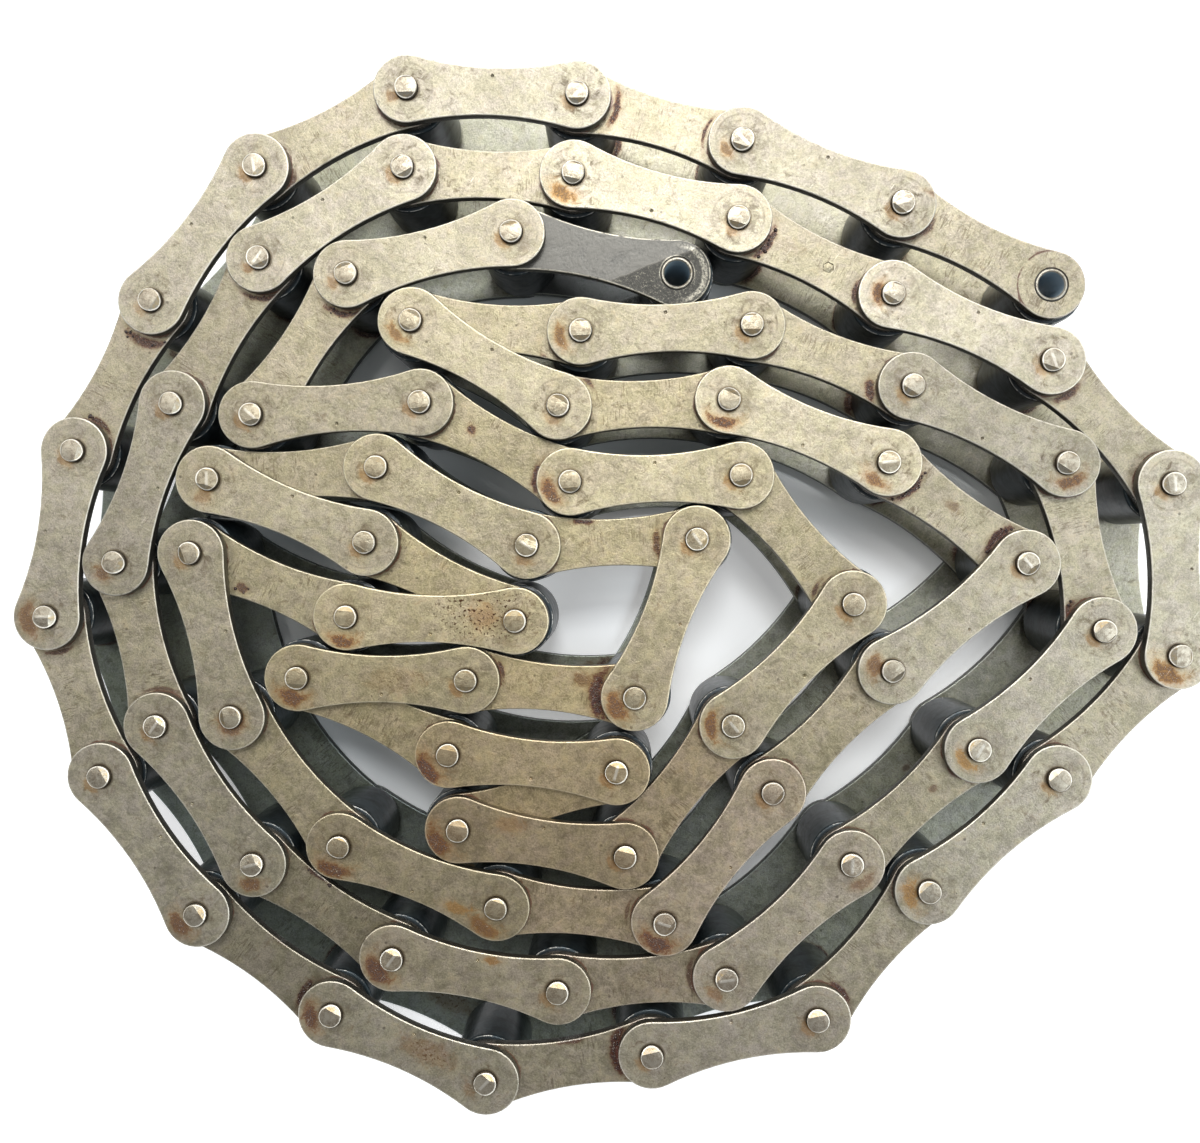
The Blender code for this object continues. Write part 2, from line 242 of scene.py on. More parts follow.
@dataclass(frozen=True)
class PlateShape:
    """The waisted plate: its outline, broken edges, holes and sunk marks."""

    sizes: LinkSizes = SIZES
    end_steps: int = 22
    hollow_steps: int = 12
    top_edge: float = 0.27 * MM
    under_edge: float = 0.2 * MM
    edge_steps: int = 3
    hold: float = 0.06 * MM
    fade: float = 0.16 * MM
    hole_sides: int = 32
    hole_edge: float = 0.10 * MM

    def outline(self, inset: float) -> list[Point]:
        """Draws the outline.

        Args:
            inset: how far it lies inside the plate's real edge.

        Returns:
            Its corners, in order round the plate.
        """
        s = self.sizes
        half = math.atan2(s.hollow_centre, -s.pitch / 2)
        lean = math.atan2(s.pitch / 2, s.hollow_centre)
        end, hollow = s.plate_end_radius - inset, s.hollow_radius + inset
        middle, quarter = s.pitch / 2, math.pi / 2
        return (
            arc(s.pitch, 0.0, end, -half, half, self.end_steps)
            + arc(middle, s.hollow_centre, hollow, lean - quarter, -lean - quarter, self.hollow_steps)
            + arc(0.0, 0.0, end, math.pi - half, math.pi + half, self.end_steps)
            + arc(middle, -s.hollow_centre, hollow, quarter + lean, quarter - lean, self.hollow_steps)
        )

    def edge_profile(self, low: float, high: float, top: float, under: float) -> Profile:
        """Inset, height and edge mark of each ring down a side with two rolled edges. The mark stands for
        worn metal and a painted highlight.

        Args:
            low: height of the underside.
            high: height of the top.
            top: radius of the upper edge.
            under: radius of the lower edge.

        Returns:
            One entry for each ring, from the top down.
        """
        quarters = [math.pi / 2 * k / self.edge_steps for k in range(self.edge_steps + 1)]
        upper = [
            (top * (1 - math.sin(a)), high - top * (1 - math.cos(a)), math.cos(a) * (0.6 + math.sin(a)))
            for a in quarters
        ]
        lower = [(under * (1 - math.cos(a)), low + under * (1 - math.sin(a)), 0.3) for a in quarters]
        return [(top + self.fade, high, 0.0), *upper, *lower, (under + self.hold, low, 0.0)]

    def half_width(self, along: float) -> float:
        """Half the width of a plate between its joints, this far from the first one."""
        across = self.sizes.hollow_radius**2 - (along - self.sizes.pitch / 2) ** 2
        return self.sizes.hollow_centre - math.sqrt(across)

    def add(
        self, body: RingBody, low: float, hole_radius: float, top_up: bool, pockets: Sequence[Pocket] = ()
    ) -> None:
        """Adds one plate to a body.

        Args:
            body: the body that it joins.
            low: height of its underside.
            hole_radius: radius of the hole at each joint.
            top_up: whether its more rounded side is the upper one.
            pockets: the marks sunk in its top.
        """
        s = self.sizes
        high = low + s.plate_thickness
        top, under = (self.top_edge, self.under_edge) if top_up else (self.under_edge, self.top_edge)
        side = [body.ring(self.outline(i), h, w) for i, h, w in self.edge_profile(low, high, top, under)]
        body.skin(side)
        upper, lower = [side[0]], [side[-1]]
        edge = self.hole_edge
        for x in (0.0, s.pitch):
            rings = [
                body.ring(round_ring(hole_radius + out, self.hole_sides, x), h)
                for out, h in ((edge + self.hold, high), (edge, high), (0.0, high - edge), (0.0, low + edge),
                               (edge, low), (edge + self.hold, low))
            ]
            body.skin(rings)
            upper.append(rings[0])
            lower.append(rings[-1])
        upper += [self.sink(body, high, pocket) for pocket in pockets]
        body.cap(*upper)
        body.cap(*lower)

    def sink(self, body: RingBody, high: float, pocket: Pocket) -> list:
        """Sinks a pocket in a plate's top.

        Args:
            body: the body that the plate belongs to.
            high: height of the plate's top.
            pocket: the pocket.

        Returns:
            The ring that its mouth leaves in the top.
        """
        rings = []
        for share, drop in pocket.steps:
            corners = round_ring(pocket.radius * share, pocket.sides, pocket.along, pocket.across)
            rings.append(body.ring(corners, high - pocket.depth * drop))
        body.skin(rings)
        body.cap(rings[-1])
        return rings[0]


# The chain's course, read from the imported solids


class LinkKind(Enum):
    """The two kinds of link that alternate along the chain."""

    ROLLER = "roller"
    PIN = "pin"


class Course:
    """Places of the joints and what each link rides on and stands for."""

    NEAR = 0.2 * MM

    def __init__(self, sizes: LinkSizes) -> None:
        """Follows the chain from its outer end to its inner one.

        Args:
            sizes: sizes of the chain.
        """
        self.sizes = sizes
        first = ("outer_end_free_bushing", "outer_end_hinge_bushing", "outer_end_pin_02")
        self.joints: list[Vector] = [self.middle(name) for name in first]
        number = 1
        while f"link_pair_{number:02d}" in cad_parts:
            self.follow(f"link_pair_{number:02d}")
            number += 1
        self.pairs = number - 1
        last = ("inner_end_pin_71", "inner_end_pin_72", "inner_end_free_bushing")
        self.joints += [self.middle(name) for name in last]

    def middle(self, node: str) -> Vector:
        """Place of the upright axis of a round node."""
        low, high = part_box(node)
        return ((low + high) / 2).xy

    def follow(self, node: str) -> None:
        """Adds the two joints of a link pair, whose pins reach the full height of the chain.

        Args:
            node: the pair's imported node.
        """
        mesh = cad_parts[node].data
        top = self.sizes.chain_width - self.NEAR / 2
        tips = [vert.co.xy for vert in mesh.vertices if vert.co.z > top]
        first = min(tips, key=lambda tip: abs((tip - self.joints[-1]).length - self.sizes.pitch))
        reach = 3 * self.sizes.pin_radius
        own = [tip for tip in tips if (tip - first).length < reach]
        other = [tip for tip in tips if (tip - first).length >= reach]
        places = [sum(group, Vector((0.0, 0.0))) / len(group) for group in (own, other)]
        places.sort(key=lambda place: abs((place - self.joints[-1]).length - self.sizes.pitch))
        self.joints += places

    @property
    def links(self) -> int:
        """Number of links."""
        return len(self.joints) - 1

    def kind(self, link: int) -> LinkKind:
        """Kind of this link."""
        return LinkKind.PIN if link % 2 else LinkKind.ROLLER

    def span(self, link: int) -> Vector:
        """The way from a link's first joint to its second."""
        return self.joints[link + 1] - self.joints[link]

    def halfway(self, link: int) -> Vector:
        """Middle of a link."""
        return (self.joints[link] + self.joints[link + 1]) / 2

    def heading(self, link: int) -> float:
        """Direction of a link, as an angle from +X."""
        span = self.span(link)
        return math.atan2(span.y, span.x)

    def end_name(self, link: int) -> str:
        """Prefix of the free end that this link belongs to, or nothing."""
        outer = "outer_end" if link <= 1 else ""
        return "inner_end" if link >= self.links - 2 else outer

    def solid(self, link: int) -> str:
        """Node that holds all of a link inside the coil."""
        number = link // 2
        return f"link_pair_{number:02d}" if number <= self.pairs else "last_roller_link"


# Shader maths


Feed = Union["Wire", float, Colour, tuple]
Out = Union[int, str]


class Wire:
    """A value, colour or vector on its way between nodes, with arithmetic for values."""

    def __init__(self, bench: "Bench", socket: bpy.types.NodeSocket) -> None:
        """Holds an output socket of a tree."""
        self.bench = bench
        self.socket = socket

    def maths(self, operation: str, *others: Feed, clamp: bool = False) -> "Wire":
        """Result of one Math node that takes this and the others."""
        return self.bench.maths(operation, self, *others, clamp=clamp)

    def __add__(self, other: Feed) -> "Wire":
        """Sum."""
        return self.maths("ADD", other)

    __radd__ = __add__

    def __sub__(self, other: Feed) -> "Wire":
        """Difference."""
        return self.maths("SUBTRACT", other)

    def __rsub__(self, other: Feed) -> "Wire":
        """Difference from a plain number."""
        return self.bench.maths("SUBTRACT", other, self)

    def __mul__(self, other: Feed) -> "Wire":
        """Product."""
        return self.maths("MULTIPLY", other)

    __rmul__ = __mul__

    def __truediv__(self, other: Feed) -> "Wire":
        """Quotient."""
        return self.maths("DIVIDE", other)

    def __rtruediv__(self, other: Feed) -> "Wire":
        """Quotient of a plain number and this."""
        return self.bench.maths("DIVIDE", other, self)

    def __abs__(self) -> "Wire":
        """Size without its sign."""
        return self.maths("ABSOLUTE")

    def held(self) -> "Wire":
        """Held between 0 and 1."""
        return self.maths("ADD", 0.0, clamp=True)

    def ramp(self, low: float, high: float) -> "Wire":
        """Smooth rise between two values, or a fall where the first is the greater.

        Args:
            low: value where the result is 0.
            high: value where it is 1.

        Returns:
            The result, from 0 to 1.
        """
        sockets = {"Value": self, "From Min": min(low, high), "From Max": max(low, high)}
        sockets |= {"To Min": float(low > high), "To Max": float(low < high)}
        return self.bench.node("ShaderNodeMapRange", {"interpolation_type": "SMOOTHSTEP"}, sockets)


class Bench:
    """Adds nodes to one material's tree."""

    def __init__(self, tree: bpy.types.NodeTree) -> None:
        """Works on this tree."""
        self.tree = tree

    def node(
        self, kind: str, settings: Optional[dict] = None, sockets: Optional[dict] = None, out: Out = 0
    ) -> Wire:
        """Adds a node.

        Args:
            kind: the node's type.
            settings: its own settings, set first.
            sockets: a value or a wire for each socket, by name or number.
            out: the output to return.

        Returns:
            The wire from that output.
        """
        made = self.tree.nodes.new(kind)
        for name, value in (settings or {}).items():
            setattr(made, name, value)
        for name, value in (sockets or {}).items():
            self.feed(made.inputs[name], value)
        return Wire(self, made.outputs[out] if made.outputs else None)

    def feed(self, socket: bpy.types.NodeSocket, value: Feed) -> None:
        """Links a wire to a socket, or sets the socket's own value.

        Args:
            socket: a node's input.
            value: what it gets.
        """
        if isinstance(value, Wire):
            self.tree.links.new(value.socket, socket)
        elif isinstance(value, tuple) and socket.type == "RGBA":
            socket.default_value = (*value, 1.0)
        else:
            socket.default_value = value

    def maths(self, operation: str, *values: Feed, clamp: bool = False) -> Wire:
        """One Math node."""
        settings = {"operation": operation, "use_clamp": clamp}
        return self.node("ShaderNodeMath", settings, dict(enumerate(values)))

    def mix(self, below: Feed, above: Feed, share: Feed, blend: str = "MIX") -> Wire:
        """Mix of two colours: the first where the share is 0, the second where it is 1."""
        settings = {"data_type": "RGBA", "blend_type": blend}
        return self.node("ShaderNodeMix", settings, {0: share, 6: below, 7: above}, out=2)

    def vector(self, operation: str, *values: Feed, out: str = "Vector") -> Wire:
        """One Vector Math node."""
        return self.node("ShaderNodeVectorMath", {"operation": operation}, dict(enumerate(values)), out)

    def parts(self, vector: Wire) -> tuple[Wire, Wire, Wire]:
        """The x, y and z of a vector."""
        outputs = self.node("ShaderNodeSeparateXYZ", sockets={0: vector}).socket.node.outputs
        return tuple(Wire(self, output) for output in outputs)

    def turned(self, vector: Wire, angle: Feed) -> Wire:
        """A vector turned about Z."""
        sockets = {"Vector": vector, "Angle": angle}
        return self.node("ShaderNodeVectorRotate", {"rotation_type": "Z_AXIS"}, sockets)

    def level_length(self, vector: Wire) -> Wire:
        """Length of a vector seen from above."""
        return self.vector("LENGTH", self.vector("MULTIPLY", vector, (1.0, 1.0, 0.0)), out="Value")

    def carried(self, name: str, out: str = "Vector", kind: str = "OBJECT") -> Wire:
        """What each piece carries under this name, or with GEOMETRY what its mesh does."""
        return self.node("ShaderNodeAttribute", {"attribute_type": kind, "attribute_name": name}, out=out)

    def wear_and_highlight(self) -> Wire:
        """How bright the mesh's edge is worn, and lit by a painted highlight."""
        return self.carried(RingBody.WEAR_AND_HIGHLIGHT, "Fac", "GEOMETRY")

    def level(self, out: str = "True Normal") -> Wire:
        """1 where the surface faces straight up or down and 0 on a wall."""
        return abs(self.parts(self.node("ShaderNodeNewGeometry", out=out))[2])

    def noise(self, place: Wire, scale: float, detail: float, rough: float, bend: float) -> Wire:
        """Noise with this many finer layers of this strength, from about 0 to 1, distorted by the bend."""
        sockets = {"Vector": place, "Scale": scale, "Detail": detail, "Roughness": rough, "Distortion": bend}
        return self.node("ShaderNodeTexNoise", sockets=sockets)

    def bump(self, height: Wire, depth: Feed, below: Optional[Wire] = None) -> Wire:
        """Adds a bump.

        Args:
            height: where the surface rises, from 0 to 1.
            depth: how far it rises, in metres.
            below: a bump that this one lies on.

        Returns:
            The bumped normal.
        """
        sockets = {"Height": height, "Distance": depth, "Strength": 1.0}
        if below:
            sockets["Normal"] = below
        return self.node("ShaderNodeBump", sockets=sockets)


class Coat(Bench):
    """A colour that grows layer by layer, and the places that its layers are drawn by."""

    UPPER_PLATE = 30 * MM
    LOWER_PLATE = 22 * MM

    def __init__(self, tree: bpy.types.NodeTree) -> None:
        """Finds the places: in the piece's own axes, in the noise, and from its link's two joints.

        Args:
            tree: the material's nodes.
        """
        super().__init__(tree)
        self.own = self.node("ShaderNodeTexCoord", out="Object")
        self.place = self.vector("ADD", self.own, self.carried("wear_seed"))
        self.to_far = self.vector("SUBTRACT", self.own, self.carried("far_joint"))
        self.near, self.far = (self.level_length(way) for way in (self.own, self.to_far))
        self.joint = self.maths("MINIMUM", self.near, self.far)
        self.colour: Optional[Wire] = None

    def lay(self, colour: Feed, share: Feed) -> None:
        """Lays a colour on top, fully where the share is 1."""
        self.colour = self.mix(self.colour, colour, share)

    def tint(self, colour: Feed) -> None:
        """Multiplies the colour by this one."""
        self.colour = self.mix(self.colour, colour, 1.0, "MULTIPLY")

    def shade_low_plate(self) -> None:
        """Multiplies a lower plate's colour by the piece's painted shade for it."""
        low = self.parts(self.own)[2].ramp(self.UPPER_PLATE, self.LOWER_PLATE)
        self.tint(self.mix((1.0, 1.0, 1.0), self.carried("lower_plate_shade", "Color"), low))

    def cloud(self, size: float, detail: float = 3.0, rough: float = 0.55, bend: float = 0.0) -> Wire:
        """Noise with patches of about this size in metres."""
        return self.noise(self.place, 1 / size, detail, rough, bend)

    def scratches(self, turn: float, spacing: float, length: float) -> Wire:
        """1 on fine scratches with this direction, spacing and length, and 0 off them."""
        drawn = self.vector("MULTIPLY", self.turned(self.place, turn), (1 / length, 1 / spacing, 1 / length))
        return self.noise(drawn, 1.0, 2.0, 0.6, 0.35).ramp(0.66, 0.74)

    def flecks(self, spacing: float, radius: float, share: float) -> Wire:
        """Small scattered specks.

        Args:
            spacing: rough distance between them.
            radius: radius of each, as a part of the spacing.
            share: how many of them are kept, from 0 to 1.

        Returns:
            1 on a speck and 0 off it.
        """
        sockets = {"Vector": self.place, "Scale": 1 / spacing, "Randomness": 1.0}
        nearest = self.node("ShaderNodeTexVoronoi", sockets=sockets)
        chance = self.parts(Wire(self, nearest.socket.node.outputs["Color"]))[0]
        return nearest.ramp(radius, radius * 0.4) * chance.ramp(1.0 - share, 1.05 - share)


# Finishes


@dataclass(frozen=True)
class Finish:
    """A finish of one kind of piece, which makes one material."""

    name: str
    slot: str

    def material(self) -> bpy.types.Material:
        """Makes the material the first time that it is asked for.

        Returns:
            The material, the same one each time.
        """
        made = bpy.data.materials.get(self.name)
        if not made:
            made = bpy.data.materials.new(self.name)
            made.use_nodes = True
            made.node_tree.nodes.clear()
            coat = Coat(made.node_tree)
            shader = coat.node("ShaderNodeBsdfPrincipled", sockets=self.sockets(coat))
            coat.node("ShaderNodeOutputMaterial", sockets={"Surface": shader})
        return made

    def sockets(self, coat: Coat) -> dict:
        """Values and wires for the shader's sockets."""
        raise NotImplementedError


@dataclass(frozen=True)
class Fray:
    """The noises that break up a stain: one its outline, the other its crust."""

    outline: Wire
    crust: Wire


@dataclass(frozen=True)
class RolledPlateSteel(Finish):
    """Oiled khaki-grey rolled steel with brown mottling, flecks, scratches and stains beside its joints."""

    pale: Colour = (0.420, 0.380, 0.304)
    deep: Colour = (0.205, 0.184, 0.138)
    olive: Colour = (0.99, 1.0, 0.93)
    lilac: Colour = (1.01, 0.995, 1.03)
    smudge: Colour = (0.095, 0.070, 0.042)
    oil: Colour = (0.27, 0.205, 0.110)
    fleck: Colour = (0.030, 0.022, 0.016)
    stain: Colour = (0.155, 0.066, 0.027)
    ochre: Colour = (0.34, 0.185, 0.050)
    crust: Colour = (0.040, 0.016, 0.008)
    painted_glint: Colour = (0.75, 0.68, 0.56)
    rubbed_and_highlight: Colour = (0.80, 0.76, 0.66)
    shear_and_shade: Colour = (0.070, 0.066, 0.055)
    wide_patch: float = 13 * MM
    hue_patch: float = 4.2 * MM
    patch: float = 3 * MM
    smear: float = 2.5 * MM
    speck: float = 0.8 * MM
    grain: float = 0.45 * MM
    hole_rim: Range = (3.6 * MM, 3.05 * MM)
    halo_start: Range = (2.9 * MM, 3.8 * MM)
    halo_end: Range = (7.6 * MM, 4.6 * MM)
    ring_radius: float = 6.3 * MM
    ring_line: Range = (0.35 * MM, 0.1 * MM)
    ring_wander: float = 1.2 * MM
    fleck_sets: tuple[Trio, ...] = ((1.6 * MM, 0.17, 0.22), (3.4 * MM, 0.16, 0.3))
    scratch_sets: tuple[Trio, ...] = ((0.5, 0.22 * MM, 6 * MM), (2.2, 0.3 * MM, 5 * MM))
    wave_depth: float = 0.22 * MM
    grain_depth: float = 0.04 * MM
    roughness: float = 0.42
    smudge_share: float = 0.5
    edge_share: float = 0.68
    wet: float = 0.0

    def sockets(self, coat: Coat) -> dict:
        """Layers steel, smudges, oil, flecks, stains with painted glints, scratches, edges that are worn
        bright and carry a painted highlight, and painted shade on the side walls and on the lower plate.

        Args:
            coat: coat of the plates.

        Returns:
            Values and wires for the shader's sockets.
        """
        joint = coat.joint
        wide = coat.cloud(self.wide_patch, 3.0, 0.6, 0.4)
        middle = coat.cloud(self.patch, 6.0, 0.74, 0.4)
        fine = coat.cloud(self.grain, 3.0, 0.7)
        smears = coat.cloud(self.smear, 5.0, 0.74, 0.6)
        mottled = (wide * 0.25 + middle * 0.52 + fine * 0.46).ramp(0.45, 0.79)
        coat.colour = coat.mix(self.deep, self.pale, mottled)
        hue = coat.cloud(self.hue_patch, 4.0, 0.7, 0.5)
        coat.tint(coat.mix(self.lilac, self.olive, hue.ramp(0.36, 0.62)))
        coat.lay(self.oil, (middle.ramp(0.52, 0.72) * 0.35 + smears.ramp(0.55, 0.75) * 0.25).held())
        smudges = smears.ramp(0.54, 0.68) * wide.ramp(0.38, 0.60)
        halo = joint.ramp(*self.halo_start) * joint.ramp(*self.halo_end) * smears.ramp(0.42, 0.62)
        off_ring = abs(joint - self.ring_radius + (wide - 0.5) * self.ring_wander)
        ring = off_ring.ramp(*self.ring_line) * middle.ramp(0.42, 0.60)
        dirty = (smudges * self.smudge_share + halo * 0.42 + ring * 0.3).held()
        coat.lay(self.smudge, dirty)
        flecks = coat.maths("MAXIMUM", *(coat.flecks(*each) for each in self.fleck_sets))
        coat.lay(self.fleck, flecks * middle.ramp(0.40, 0.56) * 0.6)
        coat.lay(self.smudge, (joint.ramp(*self.hole_rim) * (0.35 + smears * 0.9)).held())
        fray = Fray(smears, fine)
        crusted = self.joint_mark(coat, "near_mark", coat.own, coat.near, fray)
        crusted = crusted + self.joint_mark(coat, "far_mark", coat.to_far, coat.far, fray)
        crusted = (crusted + self.loose_mark(coat, fray)).held()
        greasy = self.special_layers(coat)
        crossing = coat.maths("MAXIMUM", *(coat.scratches(*each) for each in self.scratch_sets))
        lines = crossing * wide.ramp(0.30, 0.62)
        coat.lay(self.rubbed_and_highlight, lines * 0.22)
        # Edges: partly worn bright, partly a painted highlight laid as a pale colour.
        coat.lay(self.rubbed_and_highlight, coat.wear_and_highlight() * middle.ramp(0.26, 0.50) * self.edge_share)
        # Side walls: partly the darker sheared steel, partly painted shade.
        wall = coat.level("Normal").ramp(0.45, 0.15)
        coat.lay(self.shear_and_shade, wall * 0.88)
        # Painted shade on the lower plate.
        coat.shade_low_plate()
        coat.tint(coat.carried("tone_colour", "Color"))
        rough = self.roughness + (middle - 0.5) * 0.3 + dirty * 0.12 - lines * 0.05
        rough = rough - (greasy + crusted) * self.wet
        waves = coat.bump(wide + middle * 0.5, self.wave_depth)
        bumps = coat.bump(fine, (crusted * 5.0 + wall * 2.0 + 1.0) * self.grain_depth, waves)
        metal = (0.82 - dirty * 0.3 - crusted * 0.7 - greasy * 0.6).held()
        return {"Base Color": coat.colour, "Metallic": metal, "Roughness": rough.held(), "Normal": bumps}

    def joint_mark(self, coat: Coat, name: str, way: Wire, reach: Wire, fray: Fray) -> Wire:
        """Adds the crescent of rust or grease that a plate carries beside one of its joints.

        Args:
            coat: coat of the plate.
            name: name of the values for it that the piece carries.
            way: way from the joint.
            reach: its length.
            fray: noises that break up the mark.

        Returns:
            How much crust lies there.
        """
        direction, radius, amount = coat.parts(coat.carried(name))
        half_arc, half_width, ochre = coat.parts(coat.carried(name + "_size"))
        x, y, _ = coat.parts(coat.turned(way, direction * -1.0))
        along = coat.maths("ARCTAN2", y, x) / half_arc
        return self.lay_mark(coat, along, (reach - radius) / half_width, amount, ochre, fray)

    def loose_mark(self, coat: Coat, fray: Fray) -> Wire:
        """Adds the oval stain or the cluster of specks that some plates carry between their joints.

        Args:
            coat: coat of the plate.
            fray: noises that break up the mark.

        Returns:
            How much crust lies there.
        """
        half_long, half_wide, turn = coat.parts(coat.carried("spot_size"))
        amount, ochre, specks = coat.parts(coat.carried("spot_look"))
        offset = coat.vector("SUBTRACT", coat.own, coat.carried("spot_place"))
        x, y, _ = coat.parts(coat.turned(offset, turn))
        x, y = x / half_long, y / half_wide
        nearness = (1.2 - coat.maths("SQRT", x * x + y * y)).ramp(-0.1, 0.8)
        speckled = coat.cloud(self.speck, 2.0, 0.6).ramp(0.57, 0.63) * nearness * specks
        coat.lay(self.crust, (speckled * 0.8).held())
        return self.lay_mark(coat, x, y, amount, ochre, fray)

    def lay_mark(self, coat: Coat, along: Wire, across: Wire, amount: Wire, ochre: Wire, fray: Fray) -> Wire:
        """Lays a stain, with painted glints in its crust, whose outline is where along and across reach 1.

        Args:
            coat: coat of the plate.
            along: distance along it, as a part of its half length.
            across: distance across it, as a part of its half width.
            amount: its strength.
            ochre: how yellow it is.
            fray: noises that break it up.

        Returns:
            How much crust lies there.
        """
        inside = 1.0 - coat.maths("SQRT", along * along + across * across)
        inside = inside + (fray.outline - 0.5) * 2.0 + (fray.crust - 0.5) * 0.9
        coat.lay(self.ochre, (inside.ramp(-1.0, 0.2) * amount * 0.30).held())
        coat.lay(coat.mix(self.stain, self.ochre, ochre), (inside.ramp(-0.16, 0.34) * amount * 0.92).held())
        crusted = (inside.ramp(0.08, 0.50) * fray.crust.ramp(0.36, 0.52) * amount).held()
        crusted = crusted * (1.0 - ochre * 0.6)
        coat.lay(self.crust, crusted * 0.92)
        # Painted glints in the crust.
        coat.lay(self.painted_glint, crusted * fray.crust.ramp(0.62, 0.70) * 0.6)
        return crusted

    def special_layers(self, coat: Coat) -> Wire:
        """Adds what only one kind of plate carries, here nothing, and returns how greasy it is."""
        return coat.joint * 0.0


@dataclass(frozen=True)
class InnerPlateSteel(RolledPlateSteel):
    """The same steel where an outer plate's end rubs on it and leaves an arc of brown grease."""

    pale: Colour = (0.390, 0.347, 0.264)
    deep: Colour = (0.190, 0.168, 0.118)
    stain: Colour = (0.085, 0.026, 0.016)
    ochre: Colour = (0.17, 0.100, 0.038)
    crust: Colour = (0.026, 0.010, 0.007)
    smudge_share: float = 0.65
    edge_share: float = 0.42
    wet: float = 0.2
    grease_patch: float = 4.5 * MM
    grease_start: Range = (7.9 * MM, 8.3 * MM)
    grease_width: float = 0.22 * MM
    grease_swell: float = 0.6 * MM
    stroke_patch: float = 6.5 * MM
    stroke_gap: float = 0.42 * MM
    stroke_length: float = 3.2 * MM

    def special_layers(self, coat: Coat) -> Wire:
        """Adds the line of grease that an outer plate's end pushes up, and dark strokes across the plate.

        Args:
            coat: coat of the plate.

        Returns:
            How greasy it is.
        """
        ragged = coat.cloud(self.grease_patch, 3.0, 0.6)
        width = self.grease_width + ragged.ramp(0.48, 0.70) * self.grease_swell
        line = ((coat.joint - SIZES.plate_end_radius) / width).ramp(1.25, 0.3)
        greasy = (line * coat.joint.ramp(*self.grease_start) * ragged.ramp(0.40, 0.50)).held()
        coat.lay(self.stain, greasy * 0.8)
        way = coat.carried("far_joint")
        along = coat.vector("DOT_PRODUCT", coat.place, way, out="Value") / SIZES.pitch
        across = coat.parts(coat.vector("CROSS_PRODUCT", coat.place, way))[2] / SIZES.pitch
        sockets = {"X": along / self.stroke_gap, "Y": across / self.stroke_length}
        drawn = coat.node("ShaderNodeCombineXYZ", sockets=sockets)
        strokes = coat.noise(drawn, 1.0, 2.0, 0.55, 0.3).ramp(0.51, 0.62)
        coat.lay(self.smudge, strokes * coat.cloud(self.stroke_patch, 2.0, 0.5).ramp(0.50, 0.62) * 0.55)
        return greasy


@dataclass(frozen=True)
class OilyGrit(Finish):
    """Crumbs of soil and rust soaked in oil."""

    soil: Colour = (0.014, 0.009, 0.008)
    rust: Colour = (0.060, 0.026, 0.018)
    grain: float = 0.5 * MM
    grain_depth: float = 0.08 * MM
    roughness: float = 0.30

    def sockets(self, coat: Coat) -> dict:
        """Layers soil, rust and oil.

        Args:
            coat: coat of the crumbs.

        Returns:
            Values and wires for the shader's sockets.
        """
        grain = coat.cloud(self.grain, 4.0, 0.7)
        colour = coat.mix(self.soil, self.rust, grain.ramp(0.42, 0.66))
        rough = self.roughness + (grain - 0.5) * 0.5
        bumps = coat.bump(grain, self.grain_depth)
        return {"Base Color": colour, "Metallic": 0.1, "Roughness": rough.held(), "Normal": bumps}


